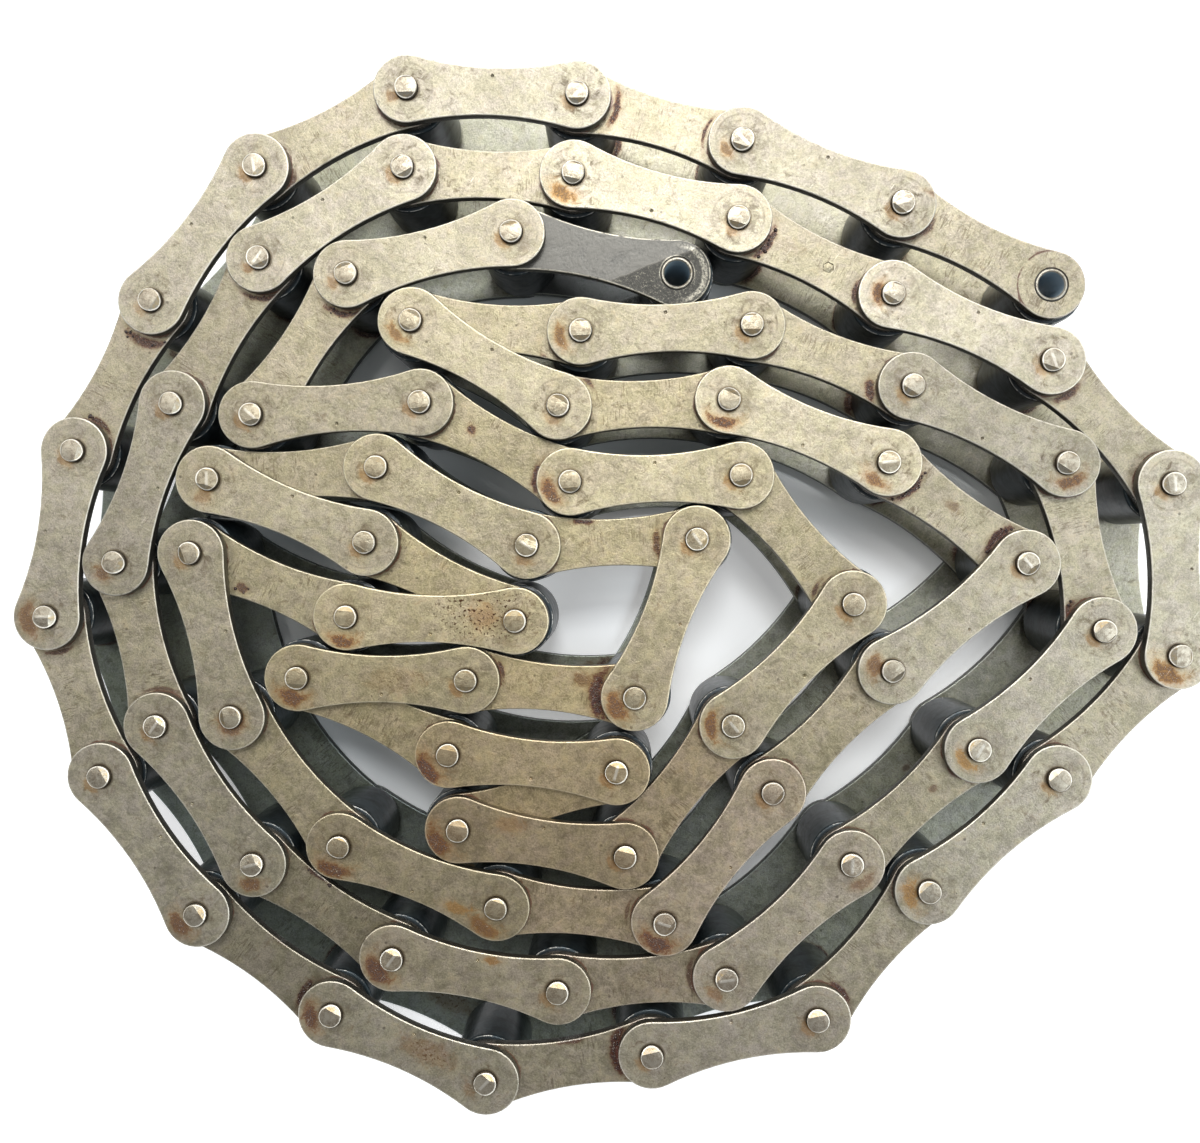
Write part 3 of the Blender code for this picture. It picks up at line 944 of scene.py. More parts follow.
@dataclass(frozen=True)
class GroundPinSteel(Finish):
    """Grey-brown pin steel with a bright rim, partly worn and partly a painted highlight, a painted
    highlight along any ridge, painted shade on its side wall, and a faint yellow stain.
    """

    face: Colour = (0.40, 0.362, 0.29)
    stained: Colour = (0.170, 0.135, 0.095)
    golden: Colour = (0.56, 0.41, 0.20)
    rim: Colour = (0.86, 0.82, 0.73)
    wall: Colour = (0.085, 0.070, 0.054)
    patch: float = 1.5 * MM
    grain: float = 0.28 * MM
    grain_depth: float = 0.09 * MM
    ridge_line: Range = (0.52 * MM, 0.16 * MM)
    ridge_reach: Range = (2.2 * MM, 1.4 * MM)
    tool_marks: Trio = (0.8, 0.12 * MM, 2 * MM)
    rim_from: float = SIZES.pin_radius - 0.3 * MM
    rim_fade: float = 0.18 * MM
    small_wander: float = 0.3 * MM
    wander: float = 0.5 * MM
    roughness: float = 0.38

    def sockets(self, coat: Coat) -> dict:
        """Layers steel, stain, a painted highlight along the ridge, tool marks, the bright rim that is
        partly worn and partly a painted highlight, and painted shade on the side wall.

        Args:
            coat: coat of the pins.

        Returns:
            Values and wires for the shader's sockets.
        """
        middle = coat.cloud(self.patch, 4.0, 0.62, 0.5)
        fine = coat.cloud(self.grain, 3.0, 0.65)
        mottled = (middle * 0.75 + fine * 0.45).ramp(0.46, 0.78)
        coat.colour = coat.mix(self.face, self.stained, mottled * 0.85)
        coat.tint(coat.carried("tone_colour", "Color"))
        # Painted highlight along each ridge: a pale line where the raised bar catches the light.
        for name, way in (("near_ridge", coat.own), ("far_ridge", coat.to_far)):
            off_line = coat.vector("DOT_PRODUCT", way, coat.carried(name + "_across"), out="Value")
            along_line = coat.vector("DOT_PRODUCT", way, coat.carried(name + "_along"), out="Value")
            ridge = abs(off_line + (middle - 0.5) * self.small_wander).ramp(*self.ridge_line)
            coat.lay(self.rim, ridge * abs(along_line).ramp(*self.ridge_reach) * 0.36)
        level = coat.level()
        coat.lay(self.golden, level.ramp(0.99, 0.93) * middle.ramp(0.46, 0.60) * 0.45)
        coat.lay(self.stained, coat.scratches(*self.tool_marks) * 0.35)
        # Bright rim: partly worn metal, partly a painted highlight laid as a pale colour.
        ragged = coat.joint + (fine - 0.5) * self.small_wander + (middle - 0.5) * self.wander
        rim = ragged.ramp(self.rim_from, self.rim_from + self.rim_fade) * level.ramp(0.12, 0.3)
        coat.lay(self.rim, rim * 0.85)
        # Painted shade on the pin's side wall.
        wall = level.ramp(0.3, 0.1)
        coat.lay(self.wall, wall * 0.75)
        rough = self.roughness + (middle - 0.5) * 0.3 + rim * 0.12
        bumps = coat.bump(middle + fine * 0.35, self.grain_depth)
        metal = 0.95 - rim * 0.5 - wall * 0.3
        return {"Base Color": coat.colour, "Metallic": metal, "Roughness": rough.held(), "Normal": bumps}


@dataclass(frozen=True)
class BushingSteel(Finish):
    """The same steel as a ring with a dark seam round it, and a blue-grey bore wall that is painted light,
    standing for the light seen down the bore.
    """

    face: Colour = (0.36, 0.335, 0.28)
    stained: Colour = (0.17, 0.145, 0.10)
    seam: Colour = (0.040, 0.034, 0.030)
    bore: Colour = (0.27, 0.34, 0.39)
    patch: float = 1.6 * MM
    seam_from: float = SIZES.bushing_radius - 0.4 * MM
    seam_fade: float = 0.15 * MM
    seam_wander: float = 0.3 * MM
    roughness: float = 0.46

    def sockets(self, coat: Coat) -> dict:
        """Layers steel, stain, seam and the painted light on the bore wall.

        Args:
            coat: coat of the bushings.

        Returns:
            Values and wires for the shader's sockets.
        """
        middle = coat.cloud(self.patch, 4.0, 0.7, 0.5)
        coat.colour = coat.mix(self.face, self.stained, middle.ramp(0.42, 0.70) * 0.9)
        ragged = coat.joint + (middle - 0.5) * self.seam_wander
        seam = ragged.ramp(self.seam_from, self.seam_from + self.seam_fade)
        coat.lay(self.seam, seam * 0.9)
        # Painted light: the bore wall is a light blue-grey for the light seen down the bore.
        wall = coat.level().ramp(0.5, 0.2)
        coat.lay(self.bore, wall)
        rough = self.roughness + (middle - 0.5) * 0.3
        return {"Base Color": coat.colour, "Metallic": 0.9 - wall * 0.8, "Roughness": rough.held()}


@dataclass(frozen=True)
class OiledRollerSteel(Finish):
    """Blue-black hardened steel, wet with oil and streaked with dark grease, with painted shade on its flat
    ends and painted glints on its edges.
    """

    steel: Colour = (0.030, 0.042, 0.048)
    dark: Colour = (0.007, 0.011, 0.013)
    rubbed_and_highlight: Colour = (0.55, 0.53, 0.48)
    patch: float = 6 * MM
    grain: float = 1.1 * MM
    grain_depth: float = 0.03 * MM
    roughness: float = 0.36
    specular: float = 0.3
    coat_share: float = 0.25
    coat_roughness: float = 0.18

    def sockets(self, coat: Coat) -> dict:
        """Layers steel, oil, grease, painted shade on the flat ends and painted glints on the edges.

        Args:
            coat: coat of the rollers.

        Returns:
            Values and wires for the shader's sockets.
        """
        middle = coat.cloud(self.patch, 4.0, 0.6, 0.8)
        fine = coat.cloud(self.grain, 4.0, 0.65)
        coat.colour = coat.mix(self.steel, self.dark, (middle * 0.8 + fine * 0.3).ramp(0.40, 0.70))
        # Painted shade on the flat ends, which lie between the plates.
        coat.lay(self.dark, coat.level().ramp(0.90, 0.97) * 0.8)
        # Painted glints on the broken edges.
        glint = coat.wear_and_highlight().ramp(0.45, 0.85) * fine.ramp(0.36, 0.60) * middle.ramp(0.40, 0.55)
        coat.lay(self.rubbed_and_highlight, glint * 0.8)
        rough = self.roughness + (middle - 0.5) * 0.3 + (fine - 0.5) * 0.1
        bumps = coat.bump(middle + fine * 0.3, self.grain_depth)
        return {
            "Base Color": coat.colour, "Metallic": 0.3, "Roughness": rough.held(), "Normal": bumps,
            "Specular IOR Level": self.specular, "Coat Roughness": self.coat_roughness,
            "Coat Weight": middle.ramp(0.45, 0.62) * self.coat_share,
        }


@dataclass(frozen=True)
class DarkEndSteel(Finish):
    """Charcoal steel of the inner free end, bright on its edges, partly worn and partly a painted highlight,
    with a pitted wedge by the open bushing and painted shade on its lower plate.
    """

    steel: Colour = (0.110, 0.104, 0.092)
    dark: Colour = (0.042, 0.040, 0.036)
    wedge: Colour = (0.050, 0.048, 0.042)
    grain: Colour = (0.30, 0.28, 0.22)
    rubbed_and_highlight: Colour = (0.72, 0.67, 0.54)
    patch: float = 9 * MM
    wear_patch: float = 2.2 * MM
    pit: float = 0.6 * MM
    wedge_tip: Trio = (23.5 * MM, -11.4 * MM, 0.0)
    wedge_turn: float = math.radians(20.8)
    wedge_side: Range = (0.0, 0.7 * MM)
    wedge_start: Range = (0.0, 1.2 * MM)
    wedge_wander: float = 2 * MM
    pitted_ring: Range = (6.8 * MM, 5 * MM)
    bore_rim: Range = (4.6 * MM, 4.2 * MM)
    band_radius: float = 6.9 * MM
    band_line: Range = (0.9 * MM, 0.3 * MM)
    band_start: Range = (16 * MM, 22 * MM)
    band_wander: float = 1 * MM
    depth: float = 0.18 * MM
    roughness: float = 0.40

    def sockets(self, coat: Coat) -> dict:
        """Layers steel, pits, worn edges with a painted highlight, and painted shade on the lower plate.

        Args:
            coat: coat of the plates.

        Returns:
            Values and wires for the shader's sockets.
        """
        wide = coat.cloud(self.patch, 4.0, 0.65, 0.5)
        fine = coat.cloud(self.pit, 4.0, 0.75)
        far = coat.far
        x, y, _ = coat.parts(coat.vector("SUBTRACT", coat.own, self.wedge_tip))
        below = x * math.sin(self.wedge_turn) - y * math.cos(self.wedge_turn)
        below = below + (wide - 0.5) * self.wedge_wander
        rough_patch = below.ramp(*self.wedge_side) * x.ramp(*self.wedge_start)
        coat.colour = coat.mix(self.dark, self.steel, (wide * 0.7 + fine * 0.55).ramp(0.36, 0.70))
        coat.lay(self.wedge, rough_patch * 0.6)
        pitted = (rough_patch + far.ramp(*self.pitted_ring) * 0.6).held() * fine.ramp(0.54, 0.66)
        coat.lay(self.grain, pitted * 0.65)
        off_band = abs(far - self.band_radius + (wide - 0.5) * self.band_wander)
        band = off_band.ramp(*self.band_line) * x.ramp(*self.band_start) * fine.ramp(0.36, 0.60)
        ring = far.ramp(*self.bore_rim) * wide.ramp(0.40, 0.56)
        # Edges: partly worn bright, partly a painted highlight.
        worn = coat.wear_and_highlight() * coat.cloud(self.wear_patch, 3.0, 0.7).ramp(0.34, 0.48)
        bright = (worn + band * 0.6 + ring * 0.7).held()
        coat.lay(self.rubbed_and_highlight, bright * 0.85)
        # Painted shade on the lower plate.
        coat.shade_low_plate()
        rough = self.roughness + (wide - 0.5) * 0.3 - bright * 0.1
        bumps = coat.bump(wide + fine * (0.2 + rough_patch * 1.4), self.depth)
        return {"Base Color": coat.colour, "Metallic": 0.7, "Roughness": rough.held(), "Normal": bumps}


@dataclass(frozen=True)
class PaleFloor(Finish):
    """Pale floor with a painted glow: light outside the coil and in its wide middle gaps, shade under the
    rest of it.
    """

    pale: Colour = (0.86, 0.86, 0.85)
    cloudy: Colour = (0.90, 0.90, 0.90)
    glow: Colour = (0.42, 0.42, 0.42)
    faint: Colour = (0.02, 0.023, 0.023)
    patch: float = 0.2
    well_middle: Trio = (0.020, -0.022, 0.0)
    well_reach: Trio = (0.090, 0.042, 1.0)
    coil_reach: Trio = (0.148, 0.132, 1.0)

    def sockets(self, coat: Coat) -> dict:
        """A near white, faintly cloudy, glowing with painted light outside the coil and in the wide gaps at
        its middle, and only faintly, as painted shade, under the rest of the coil.

        Args:
            coat: coat of the floor.

        Returns:
            Values and wires for the shader's sockets.
        """
        colour = coat.mix(self.pale, self.cloudy, coat.cloud(self.patch))
        from_well = coat.vector("SUBTRACT", coat.own, self.well_middle)
        in_well = coat.level_length(coat.vector("DIVIDE", from_well, self.well_reach)).ramp(1.12, 0.85)
        outside = coat.level_length(coat.vector("DIVIDE", coat.own, self.coil_reach)).ramp(0.79, 0.86)
        # Painted light outside the coil and in its wide gaps, painted shade under the rest of it.
        glow = coat.mix(self.faint, self.glow, (in_well * 0.65 + outside).held())
        return {"Base Color": colour, "Roughness": 0.55, "Emission Color": glow, "Emission Strength": 1.0}


OUTER_STEEL = RolledPlateSteel("outer_plate_steel", "plate_steel")
INNER_STEEL = InnerPlateSteel("inner_plate_steel", "plate_steel")
GRIT = OilyGrit("oily_grit", "plate_steel")
PIN_STEEL = GroundPinSteel("pin_steel_ground", "pin_steel")
BUSHING_STEEL = BushingSteel("bushing_steel", "pin_steel")
ROLLER_STEEL = OiledRollerSteel("oiled_roller_steel", "roller_steel")
END_STEEL = DarkEndSteel("dark_end_plate_steel", "dark_end_steel")


# Marks, read from the photograph


@dataclass(frozen=True)
class Mark:
    """A stain on a plate, in photo pixels: its middle from a joint, half length, half width and strength.

    One beside a joint curves round it. Ochre goes from 0, red-brown, to 1, yellow; lumps is its number of
    crumbs and specks how thickly it is speckled.
    """

    right: float
    down: float
    long: float
    wide: float
    amount: float
    ochre: float = 0.0
    lumps: int = 0
    specks: float = 0.0

    @property
    def radius(self) -> float:
        """Distance of its middle from the joint."""
        return math.hypot(self.right, self.down)

    @property
    def direction(self) -> float:
        """Direction of its middle from the joint, as an angle from +X."""
        return math.atan2(-self.down, self.right)


def marks(rows: dict[int, tuple]) -> dict[int, Mark]:
    """Marks by joint or link, from rows of their values."""
    return {number: Mark(*row) for number, row in rows.items()}


PIXELS_PER_METRE = 4064.0

# Rust on the outer plates, by joint
RUST = marks({
    2: (-16, 9, 9, 5, 0.6, 0.6), 3: (-11, 9, 8, 4, 0.35, 0.7), 4: (-15, 8, 6, 6, 0.5, 0.5),
    6: (-13, 9, 9, 4, 0.35, 0.6), 8: (-20, 4, 18, 8, 0.7, 0.2), 10: (-17, 12, 15, 8, 0.85, 0.1),
    11: (-22, 3, 15, 8, 1.0), 12: (-17, 8, 9, 5, 0.35, 0.3), 15: (-19, 3, 16, 7, 0.85, 0.8),
    17: (-12, 18, 19, 9, 1.0, 0.5), 20: (-16, -1, 13, 5, 0.9, 0.2), 21: (-8, 12, 9, 4, 0.45, 0.6),
    22: (-11, 20, 15, 8, 0.9, 0.7), 24: (-12, 10, 6, 4, 0.55, 0.5), 26: (-14, 12, 9, 6, 0.7, 0.3),
    28: (-2, 21, 12, 7, 0.8, 0.2), 29: (-16, 13, 17, 9, 1.0), 31: (-12, 16, 10, 6, 0.5, 0.4),
    32: (12, 18, 13, 6, 0.45), 33: (-15, 12, 15, 5, 0.8, 0.9), 35: (4, 19, 16, 6, 0.85, 0.2),
    38: (-21, 6, 14, 6, 0.8, 0.5), 39: (-16, 13, 14, 5, 0.7, 0.5), 40: (-6, 15, 9, 4, 0.4, 0.5),
    41: (-7, 23, 16, 6, 1.0, 0.1), 42: (-14, 18, 13, 6, 0.8, 0.3), 44: (-18, -5, 11, 8, 0.8, 0.3),
    46: (-9, 22, 18, 9, 1.1), 47: (-14, 20, 17, 7, 0.9, 0.45), 48: (-9, 24, 18, 7, 1.0, 0.1),
    49: (2, 12, 17, 7, 0.7, 0.2), 51: (-4, 25, 15, 6, 1.0, 0.2), 52: (-30, -4, 13, 15, 0.4, 0.5),
    54: (-6, 17, 9, 7, 0.4, 0.5), 56: (-2, 17, 10, 4, 0.4, 0.5), 58: (-19, 10, 15, 9, 1.0, 0.3),
    60: (-6, 21, 16, 8, 1.0, 0.2), 61: (-22, 16, 18, 10, 1.1), 63: (-22, 12, 18, 9, 1.0, 0.2),
    65: (-22, 2, 16, 6, 1.0, 0.3), 68: (-21, 11, 15, 7, 0.9, 0.1), 71: (-14, 9, 7, 5, 0.5, 0.5),
})
FAINT_RUST = Mark(-11, 10, 10, 4, 0.45, 0.75)

# Grease and grit on the inner plates beside an outer plate's end, by joint
GREASE = marks({
    1: (29, 20, 12, 4, 0.6), 2: (-36, -14, 20, 2, 0.8), 3: (39, 12, 22, 4, 1.0, 0.2),
    5: (35, 12, 12, 2.5, 0.6), 6: (-12, 40, 24, 5, 0.9, 0.1, 9), 7: (24, -28, 16, 3, 0.9, 0.0, 6),
    8: (8, 37, 18, 2.5, 0.7), 11: (-33, -16, 20, 4, 1.0, 0.1, 5), 13: (-37, 0, 28, 6, 1.1, 0.1, 4),
    14: (27, -24, 16, 3, 0.9), 16: (-12, -35, 14, 3, 0.8), 19: (20, 33, 18, 4, 0.8),
    20: (-36, -3, 14, 2.5, 0.8), 21: (31, 23, 20, 4, 0.9, 0.0, 9), 24: (2, 38, 26, 3, 0.8, 0.0, 6),
    27: (0, -37, 22, 2, 0.6), 31: (-37, 2, 18, 3, 0.6), 34: (-33, -19, 14, 4, 0.9, 0.1, 7),
    36: (-40, 3, 14, 5, 1.0, 0.2), 38: (-33, 30, 14, 3, 0.7), 40: (29, -27, 12, 3, 0.7),
    42: (26, 27, 22, 4.5, 1.0, 0.0, 14), 43: (-27, -26, 22, 4.5, 1.0, 0.0, 12), 46: (-38, -8, 12, 2, 0.5),
    51: (-34, 12, 8, 2.5, 0.8), 52: (38, 4, 14, 4, 0.9), 57: (-40, 6, 16, 4, 0.9, 0.4),
    58: (-40, 0, 30, 7, 1.2, 0.0, 5), 59: (35, -10, 12, 2.5, 0.8), 66: (-36, -14, 11, 2.5, 0.7),
    68: (-36, -4, 16, 4, 1.0, 0.1), 69: (50, 26, 5, 5, 0.9, 0.2), 71: (-6, 38, 20, 4, 0.9, 0.0, 10),
})
NO_MARK = Mark(-11, 10, 10, 4, 0.0)

# One more stain between a link's joints, from its first joint
SPOTS = marks({
    1: (39, -6, 16, 3, 0.5), 11: (100, 38, 30, 12, 0.35, 0.3, 0, 1.0), 20: (-100, -50, 20, 8, 0.1, 0.8),
    28: (66, 15, 15, 4, 0.9, 0.0, 9), 29: (101, 1, 9, 4, 0.8, 0.8), 32: (84, -74, 5, 4, 0.55, 0.3),
    36: (-28, 36, 8, 4, 0.6, 0.3), 42: (68, 44, 9, 5, 0.5, 0.6), 47: (-41, 0, 13, 6, 0.7, 1.0),
    50: (48, 35, 7, 5, 0.8, 0.2, 3), 51: (140, -4, 60, 34, 0.03, 0.15, 0, 1.3), 56: (57, -24, 11, 3, 1.0),
    58: (-52, -16, 9, 8, 0.7, 0.7), 59: (-70, 0, 30, 14, 0.15, 0.5, 0, 0.5),
    30: (90, -6, 30, 14, 0.1, 0.5, 0, 0.4), 10: (83, 30, 9, 4, 0.8, 0.1, 6),
    12: (86, -38, 15, 4, 0.8, 0.1, 7), 63: (52, -6, 15, 9, 0.35, 0.7),
})

# Links whose plates are lighter or darker than those around them
SHADES = {
    1: 0.9, 2: 1.1, 3: 0.92, 8: 1.1, 10: 0.76, 17: 1.08, 19: 1.12, 21: 1.1, 24: 0.86, 25: 0.83, 27: 0.9,
    28: 0.78, 34: 1.08, 35: 0.84, 37: 0.88, 41: 1.18, 46: 1.08, 47: 0.87, 49: 0.9, 51: 1.2, 52: 1.16,
    56: 1.16, 57: 1.07, 58: 1.22, 62: 1.06, 63: 0.84, 67: 1.12, 69: 0.82, 72: 0.88,
}

# Joints whose pin end carries a ridge across its face, with the ridge's direction in degrees
RIDGES = {
    1: 14, 2: -45, 5: -80, 8: 0, 12: 45, 18: 90, 19: -70, 24: 55, 27: 55, 28: 15, 29: 55, 31: 8, 32: 88,
    33: 60, 42: 6, 43: -50, 46: -18, 54: 90, 56: -33, 57: -53, 62: 75, 65: -50, 70: -42,
}

# Pin links whose punch mark lies left of the centre line, seen along the link; the rest have it on the right
PUNCHED_LEFT = (9, 11, 13, 15, 21, 25, 29, 33, 35, 39, 43, 45, 47, 55, 57, 59, 63, 69, 71)
PUNCH_STEPS = ((1.5, 0.0), (1.2, 0.0), (1.0, 0.06), (0.55, 0.8), (0.12, 1.0))
PUNCH = Pocket(SIZES.pitch / 2, 3.8 * MM, 0.42 * MM, 0.45 * MM, 14, PUNCH_STEPS)

# The small six-sided dent that one inner plate carries
DENTED_LINK = 20
DENT_STEPS = ((1.2, 0.0), (1.0, 0.0), (0.90, 1.0), (0.76, 0.9), (0.45, 0.35))
DENT = Pocket(16.8 * MM, 0.3 * MM, 1.5 * MM, 0.3 * MM, 6, DENT_STEPS)


# Pieces


class Piece:
    """Puts a finished mesh in its place, on the body that it rides on, and hides the imported solids that it
    stands for.
    """

    def __init__(self, course: Course) -> None:
        """Works along this course."""
        self.course = course

    def put(
        self, name: str, mesh: bpy.types.Mesh, finish: Finish, link: int, body: str = "coil",
        solids: Sequence[str] = (),
    ) -> bpy.types.Object:
        """Adds one piece of a link.

        Args:
            name: the piece's name.
            mesh: its mesh, drawn along +X from the link's first joint; a turned copy of it is used.
            finish: its finish.
            link: number of the link.
            body: body that it rides on.
            solids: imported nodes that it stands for, none for a crumb of grit.

        Returns:
            The new object.
        """
        turned = mesh.copy()
        turned.transform(Matrix.Rotation(self.course.heading(link), 4, "Z"))
        turned.materials.clear()
        turned.materials.append(finish.material())
        obj = bpy.data.objects.new(name, turned)
        obj.location.xy = self.course.joints[link]
        bpy.context.scene.collection.objects.link(obj)
        dice = random.Random(name)
        obj["wear_seed"] = [dice.uniform(-9.0, 9.0) for _ in range(3)]
        obj["far_joint"] = [*self.course.span(link), 0.0]
        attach(obj, body)
        if solids:
            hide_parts(*solids)
        log.info("%s rides on %s", name, body)
        return obj


@dataclass(frozen=True)
class TonePatch:
    """A soft round patch of tone: middle, reach, how sharply it ends, and what it takes from each colour."""

    middle: Point
    reach: float
    power: int
    loss: Colour


@dataclass(frozen=True)
class CoilTone:
    """The coil's tone by place: darker lower down, yellow in its middle, rosy near its lower side."""

    patches: tuple[TonePatch, ...] = (
        TonePatch((-30 * MM, -50 * MM), 48 * MM, 2, (0.09, 0.14, 0.26)),
        TonePatch((-12 * MM, -5 * MM), 88 * MM, 4, (-0.02, 0.02, 0.15)),
        TonePatch((7 * MM, -66 * MM), 42 * MM, 2, (0.01, 0.09, 0.05)),
    )

    def tone(self, middle: Vector, shade: float = 1.0) -> list[float]:
        """Colour that the tone by place multiplies the steel by.

        Args:
            middle: middle of the piece.
            shade: the piece's own brightness.

        Returns:
            Red, green and blue.
        """
        tone = [shade] * 3
        for patch in self.patches:
            share = math.exp(-(((middle - Vector(patch.middle)).length / patch.reach) ** patch.power))
            tone = [part * (1 - loss * share) for part, loss in zip(tone, patch.loss)]
        return tone


@dataclass
class PlatePair:
    """The upper and lower plate of one link."""

    course: Course
    shape: PlateShape = field(default_factory=PlateShape)
    pin_play: float = 0.09 * MM
    # Painted shade of the lower plates, from darkest to lightest along the way towards the light.
    low_dark: float = 0.56
    low_light: float = 1.15
    light_from: Point = (0.70, 0.71)
    light_reach: float = 0.13
    coil_tone: CoilTone = CoilTone()
    meshes: dict = field(default_factory=dict)

    def build(self, kind: LinkKind, pocket: Optional[Pocket] = None) -> bpy.types.Mesh:
        """Mesh of both plates.

        Args:
            kind: kind of link.
            pocket: mark sunk in the upper plate.

        Returns:
            The mesh, the same one for each pair that is alike.
        """
        key = (kind, pocket)
        if key not in self.meshes:
            s = self.course.sizes
            low, high = (s.outer_low, s.outer_high) if kind is LinkKind.PIN else (s.inner_low, s.inner_high)
            hole = s.pin_radius + self.pin_play if kind is LinkKind.PIN else s.bushing_radius + s.gap / 4
            body = RingBody()
            self.shape.add(body, high, hole, True, (pocket,) if pocket else ())
            self.shape.add(body, low, hole, False)
            self.meshes[key] = body.mesh(f"{kind.value}_plates")
        return self.meshes[key]

    def dress(self, obj: bpy.types.Object, link: int) -> None:
        """Gives a pair its own shade, the painted shade of its lower plate, and the marks near its two
        joints.

        Args:
            obj: the pair.
            link: number of its link.
        """
        dice = random.Random(f"plate {link}")
        middle = self.course.halfway(link)
        obj["tone_colour"] = self.coil_tone.tone(middle, SHADES.get(link, 1.0) * dice.uniform(0.98, 1.02))
        obj["lower_plate_shade"] = self.lower_plate_shade(middle)
        outer = self.course.kind(link) is LinkKind.PIN
        known, other = (RUST, FAINT_RUST) if outer else (GREASE, NO_MARK)
        for name, joint in (("near_mark", link), ("far_mark", link + 1)):
            mark = known.get(joint, other)
            obj[name] = [mark.direction, mark.radius / PIXELS_PER_METRE, mark.amount]
            obj[name + "_size"] = [mark.long / mark.radius, mark.wide / PIXELS_PER_METRE, mark.ochre]
        spot = SPOTS.get(link, NO_MARK)
        half_long, half_wide = spot.long / PIXELS_PER_METRE, spot.wide / PIXELS_PER_METRE
        obj["spot_place"] = [spot.right / PIXELS_PER_METRE, -spot.down / PIXELS_PER_METRE, 0.0]
        obj["spot_size"] = [half_long, half_wide, -self.course.heading(link)]
        obj["spot_look"] = [spot.amount, spot.ochre, spot.specks]

    def lower_plate_shade(self, middle: Vector) -> list[float]:
        """Painted shade of a lower plate, darker away from the light to the coil's lower left, cooler where
        darker, with the coil's tone by place divided out.

        Args:
            middle: middle of the plate.

        Returns:
            Red, green and blue.
        """
        towards_light = middle.dot(Vector(self.light_from)) / self.light_reach
        share = min(1.0, max(0.0, 0.5 + 0.5 * towards_light))
        tone = self.low_dark + (self.low_light - self.low_dark) * share**1.5
        cool = (0.78 + 0.20 * share, 1.0, 1.15 - 0.15 * share)
        return [tone * part / coil_tone for part, coil_tone in zip(cool, self.coil_tone.tone(middle))]


@dataclass
class PinPair:
    """The two riveted pins of a pin link. Each end has two flats that lie along the plate."""

    course: Course
    sides: int = 48
    edge: float = 0.3 * MM
    deep_flat: float = 1.4 * MM
    shallow_flat: float = 2.1 * MM
    flat_lean: float = math.radians(33)
    ridge_half: float = 0.28 * MM
    ridge_lean: float = math.radians(7)
    smooth_under: float = math.radians(20)
    coil_tone: CoilTone = CoilTone()

    def facets(self, joint: int, heading: float) -> Profile:
        """Flats of a pin's end.

        Args:
            joint: number of the pin's joint.
            heading: direction of its link.

        Returns:
            For each flat its direction from the link's line, its lean from level, and its reach at the top.
        """
        dice = random.Random(f"pin {joint}")
        flats = []
        for side, reach in ((0.25, self.deep_flat), (-0.25, self.shallow_flat)):
            turn = math.tau * side + dice.uniform(-0.12, 0.12)
            lean = self.flat_lean + dice.uniform(-0.1, 0.1)
            flats.append((turn, lean, reach + dice.uniform(-0.15, 0.15) * MM))
        if joint in RIDGES:
            across = math.radians(RIDGES[joint] + 90) - heading
            flats += [(across + k * math.pi, self.ridge_lean, self.ridge_half) for k in range(2)]
        return flats

    def dress(self, obj: bpy.types.Object, joints: tuple[int, int]) -> None:
        """Gives the pins the coil's tone at their place, and each pin the line of its ridge, or none.

        Args:
            obj: the pair.
            joints: numbers of the pins' joints.
        """
        obj["tone_colour"] = self.coil_tone.tone(self.course.halfway(joints[0]))
        for name, joint in zip(("near_ridge", "far_ridge"), joints):
            turn = math.radians(RIDGES.get(joint, 0))
            obj[name + "_along"] = [math.cos(turn), math.sin(turn), 0.0]
            obj[name + "_across"] = [-math.sin(turn), math.cos(turn), 0.0 if joint in RIDGES else 1.0]

    def profile(self) -> list[Point]:
        """Draws the side of a pin with rounded ends.

        Returns:
            Radius and height of each ring, from the top down.
        """
        s = self.course.sizes
        top, r, edge = s.chain_width, s.pin_radius, self.edge
        end = [(r - edge, 0.0), (r - 0.62 * edge, 0.08 * edge), (r - 0.25 * edge, 0.35 * edge), (r, edge)]
        return [(radius, top - drop) for radius, drop in end] + end[::-1]

    def build(self, joints: tuple[int, int]) -> bpy.types.Mesh:
        """Makes two pins, each with the flats of its own joint.

        Args:
            joints: numbers of the pins' joints.

        Returns:
            The mesh of both.
        """
        s = self.course.sizes
        whole = bmesh.new()
        heading = self.course.heading(joints[0])
        for x, joint in zip((0.0, s.pitch), joints):
            body = RingBody()
            body.drum([body.ring(round_ring(r, self.sides), height) for r, height in self.profile()])
            for level, lean, reach in self.facets(joint, heading):
                flat = Vector((math.cos(level), math.sin(level), 0.0))
                rise = Vector((0, 0, math.cos(lean)))
                body.cut(flat * reach + Vector((0, 0, s.chain_width)), flat * math.sin(lean) + rise)
                body.cut(flat * reach, flat * math.sin(lean) - rise)
            single = body.mesh("pin", self.smooth_under)
            single.transform(Matrix.Translation((x, 0.0, 0.0)))
            whole.from_mesh(single)
            bpy.data.meshes.remove(single)
        mesh = bpy.data.meshes.new("pins")
        whole.to_mesh(mesh)
        whole.free()
        return mesh


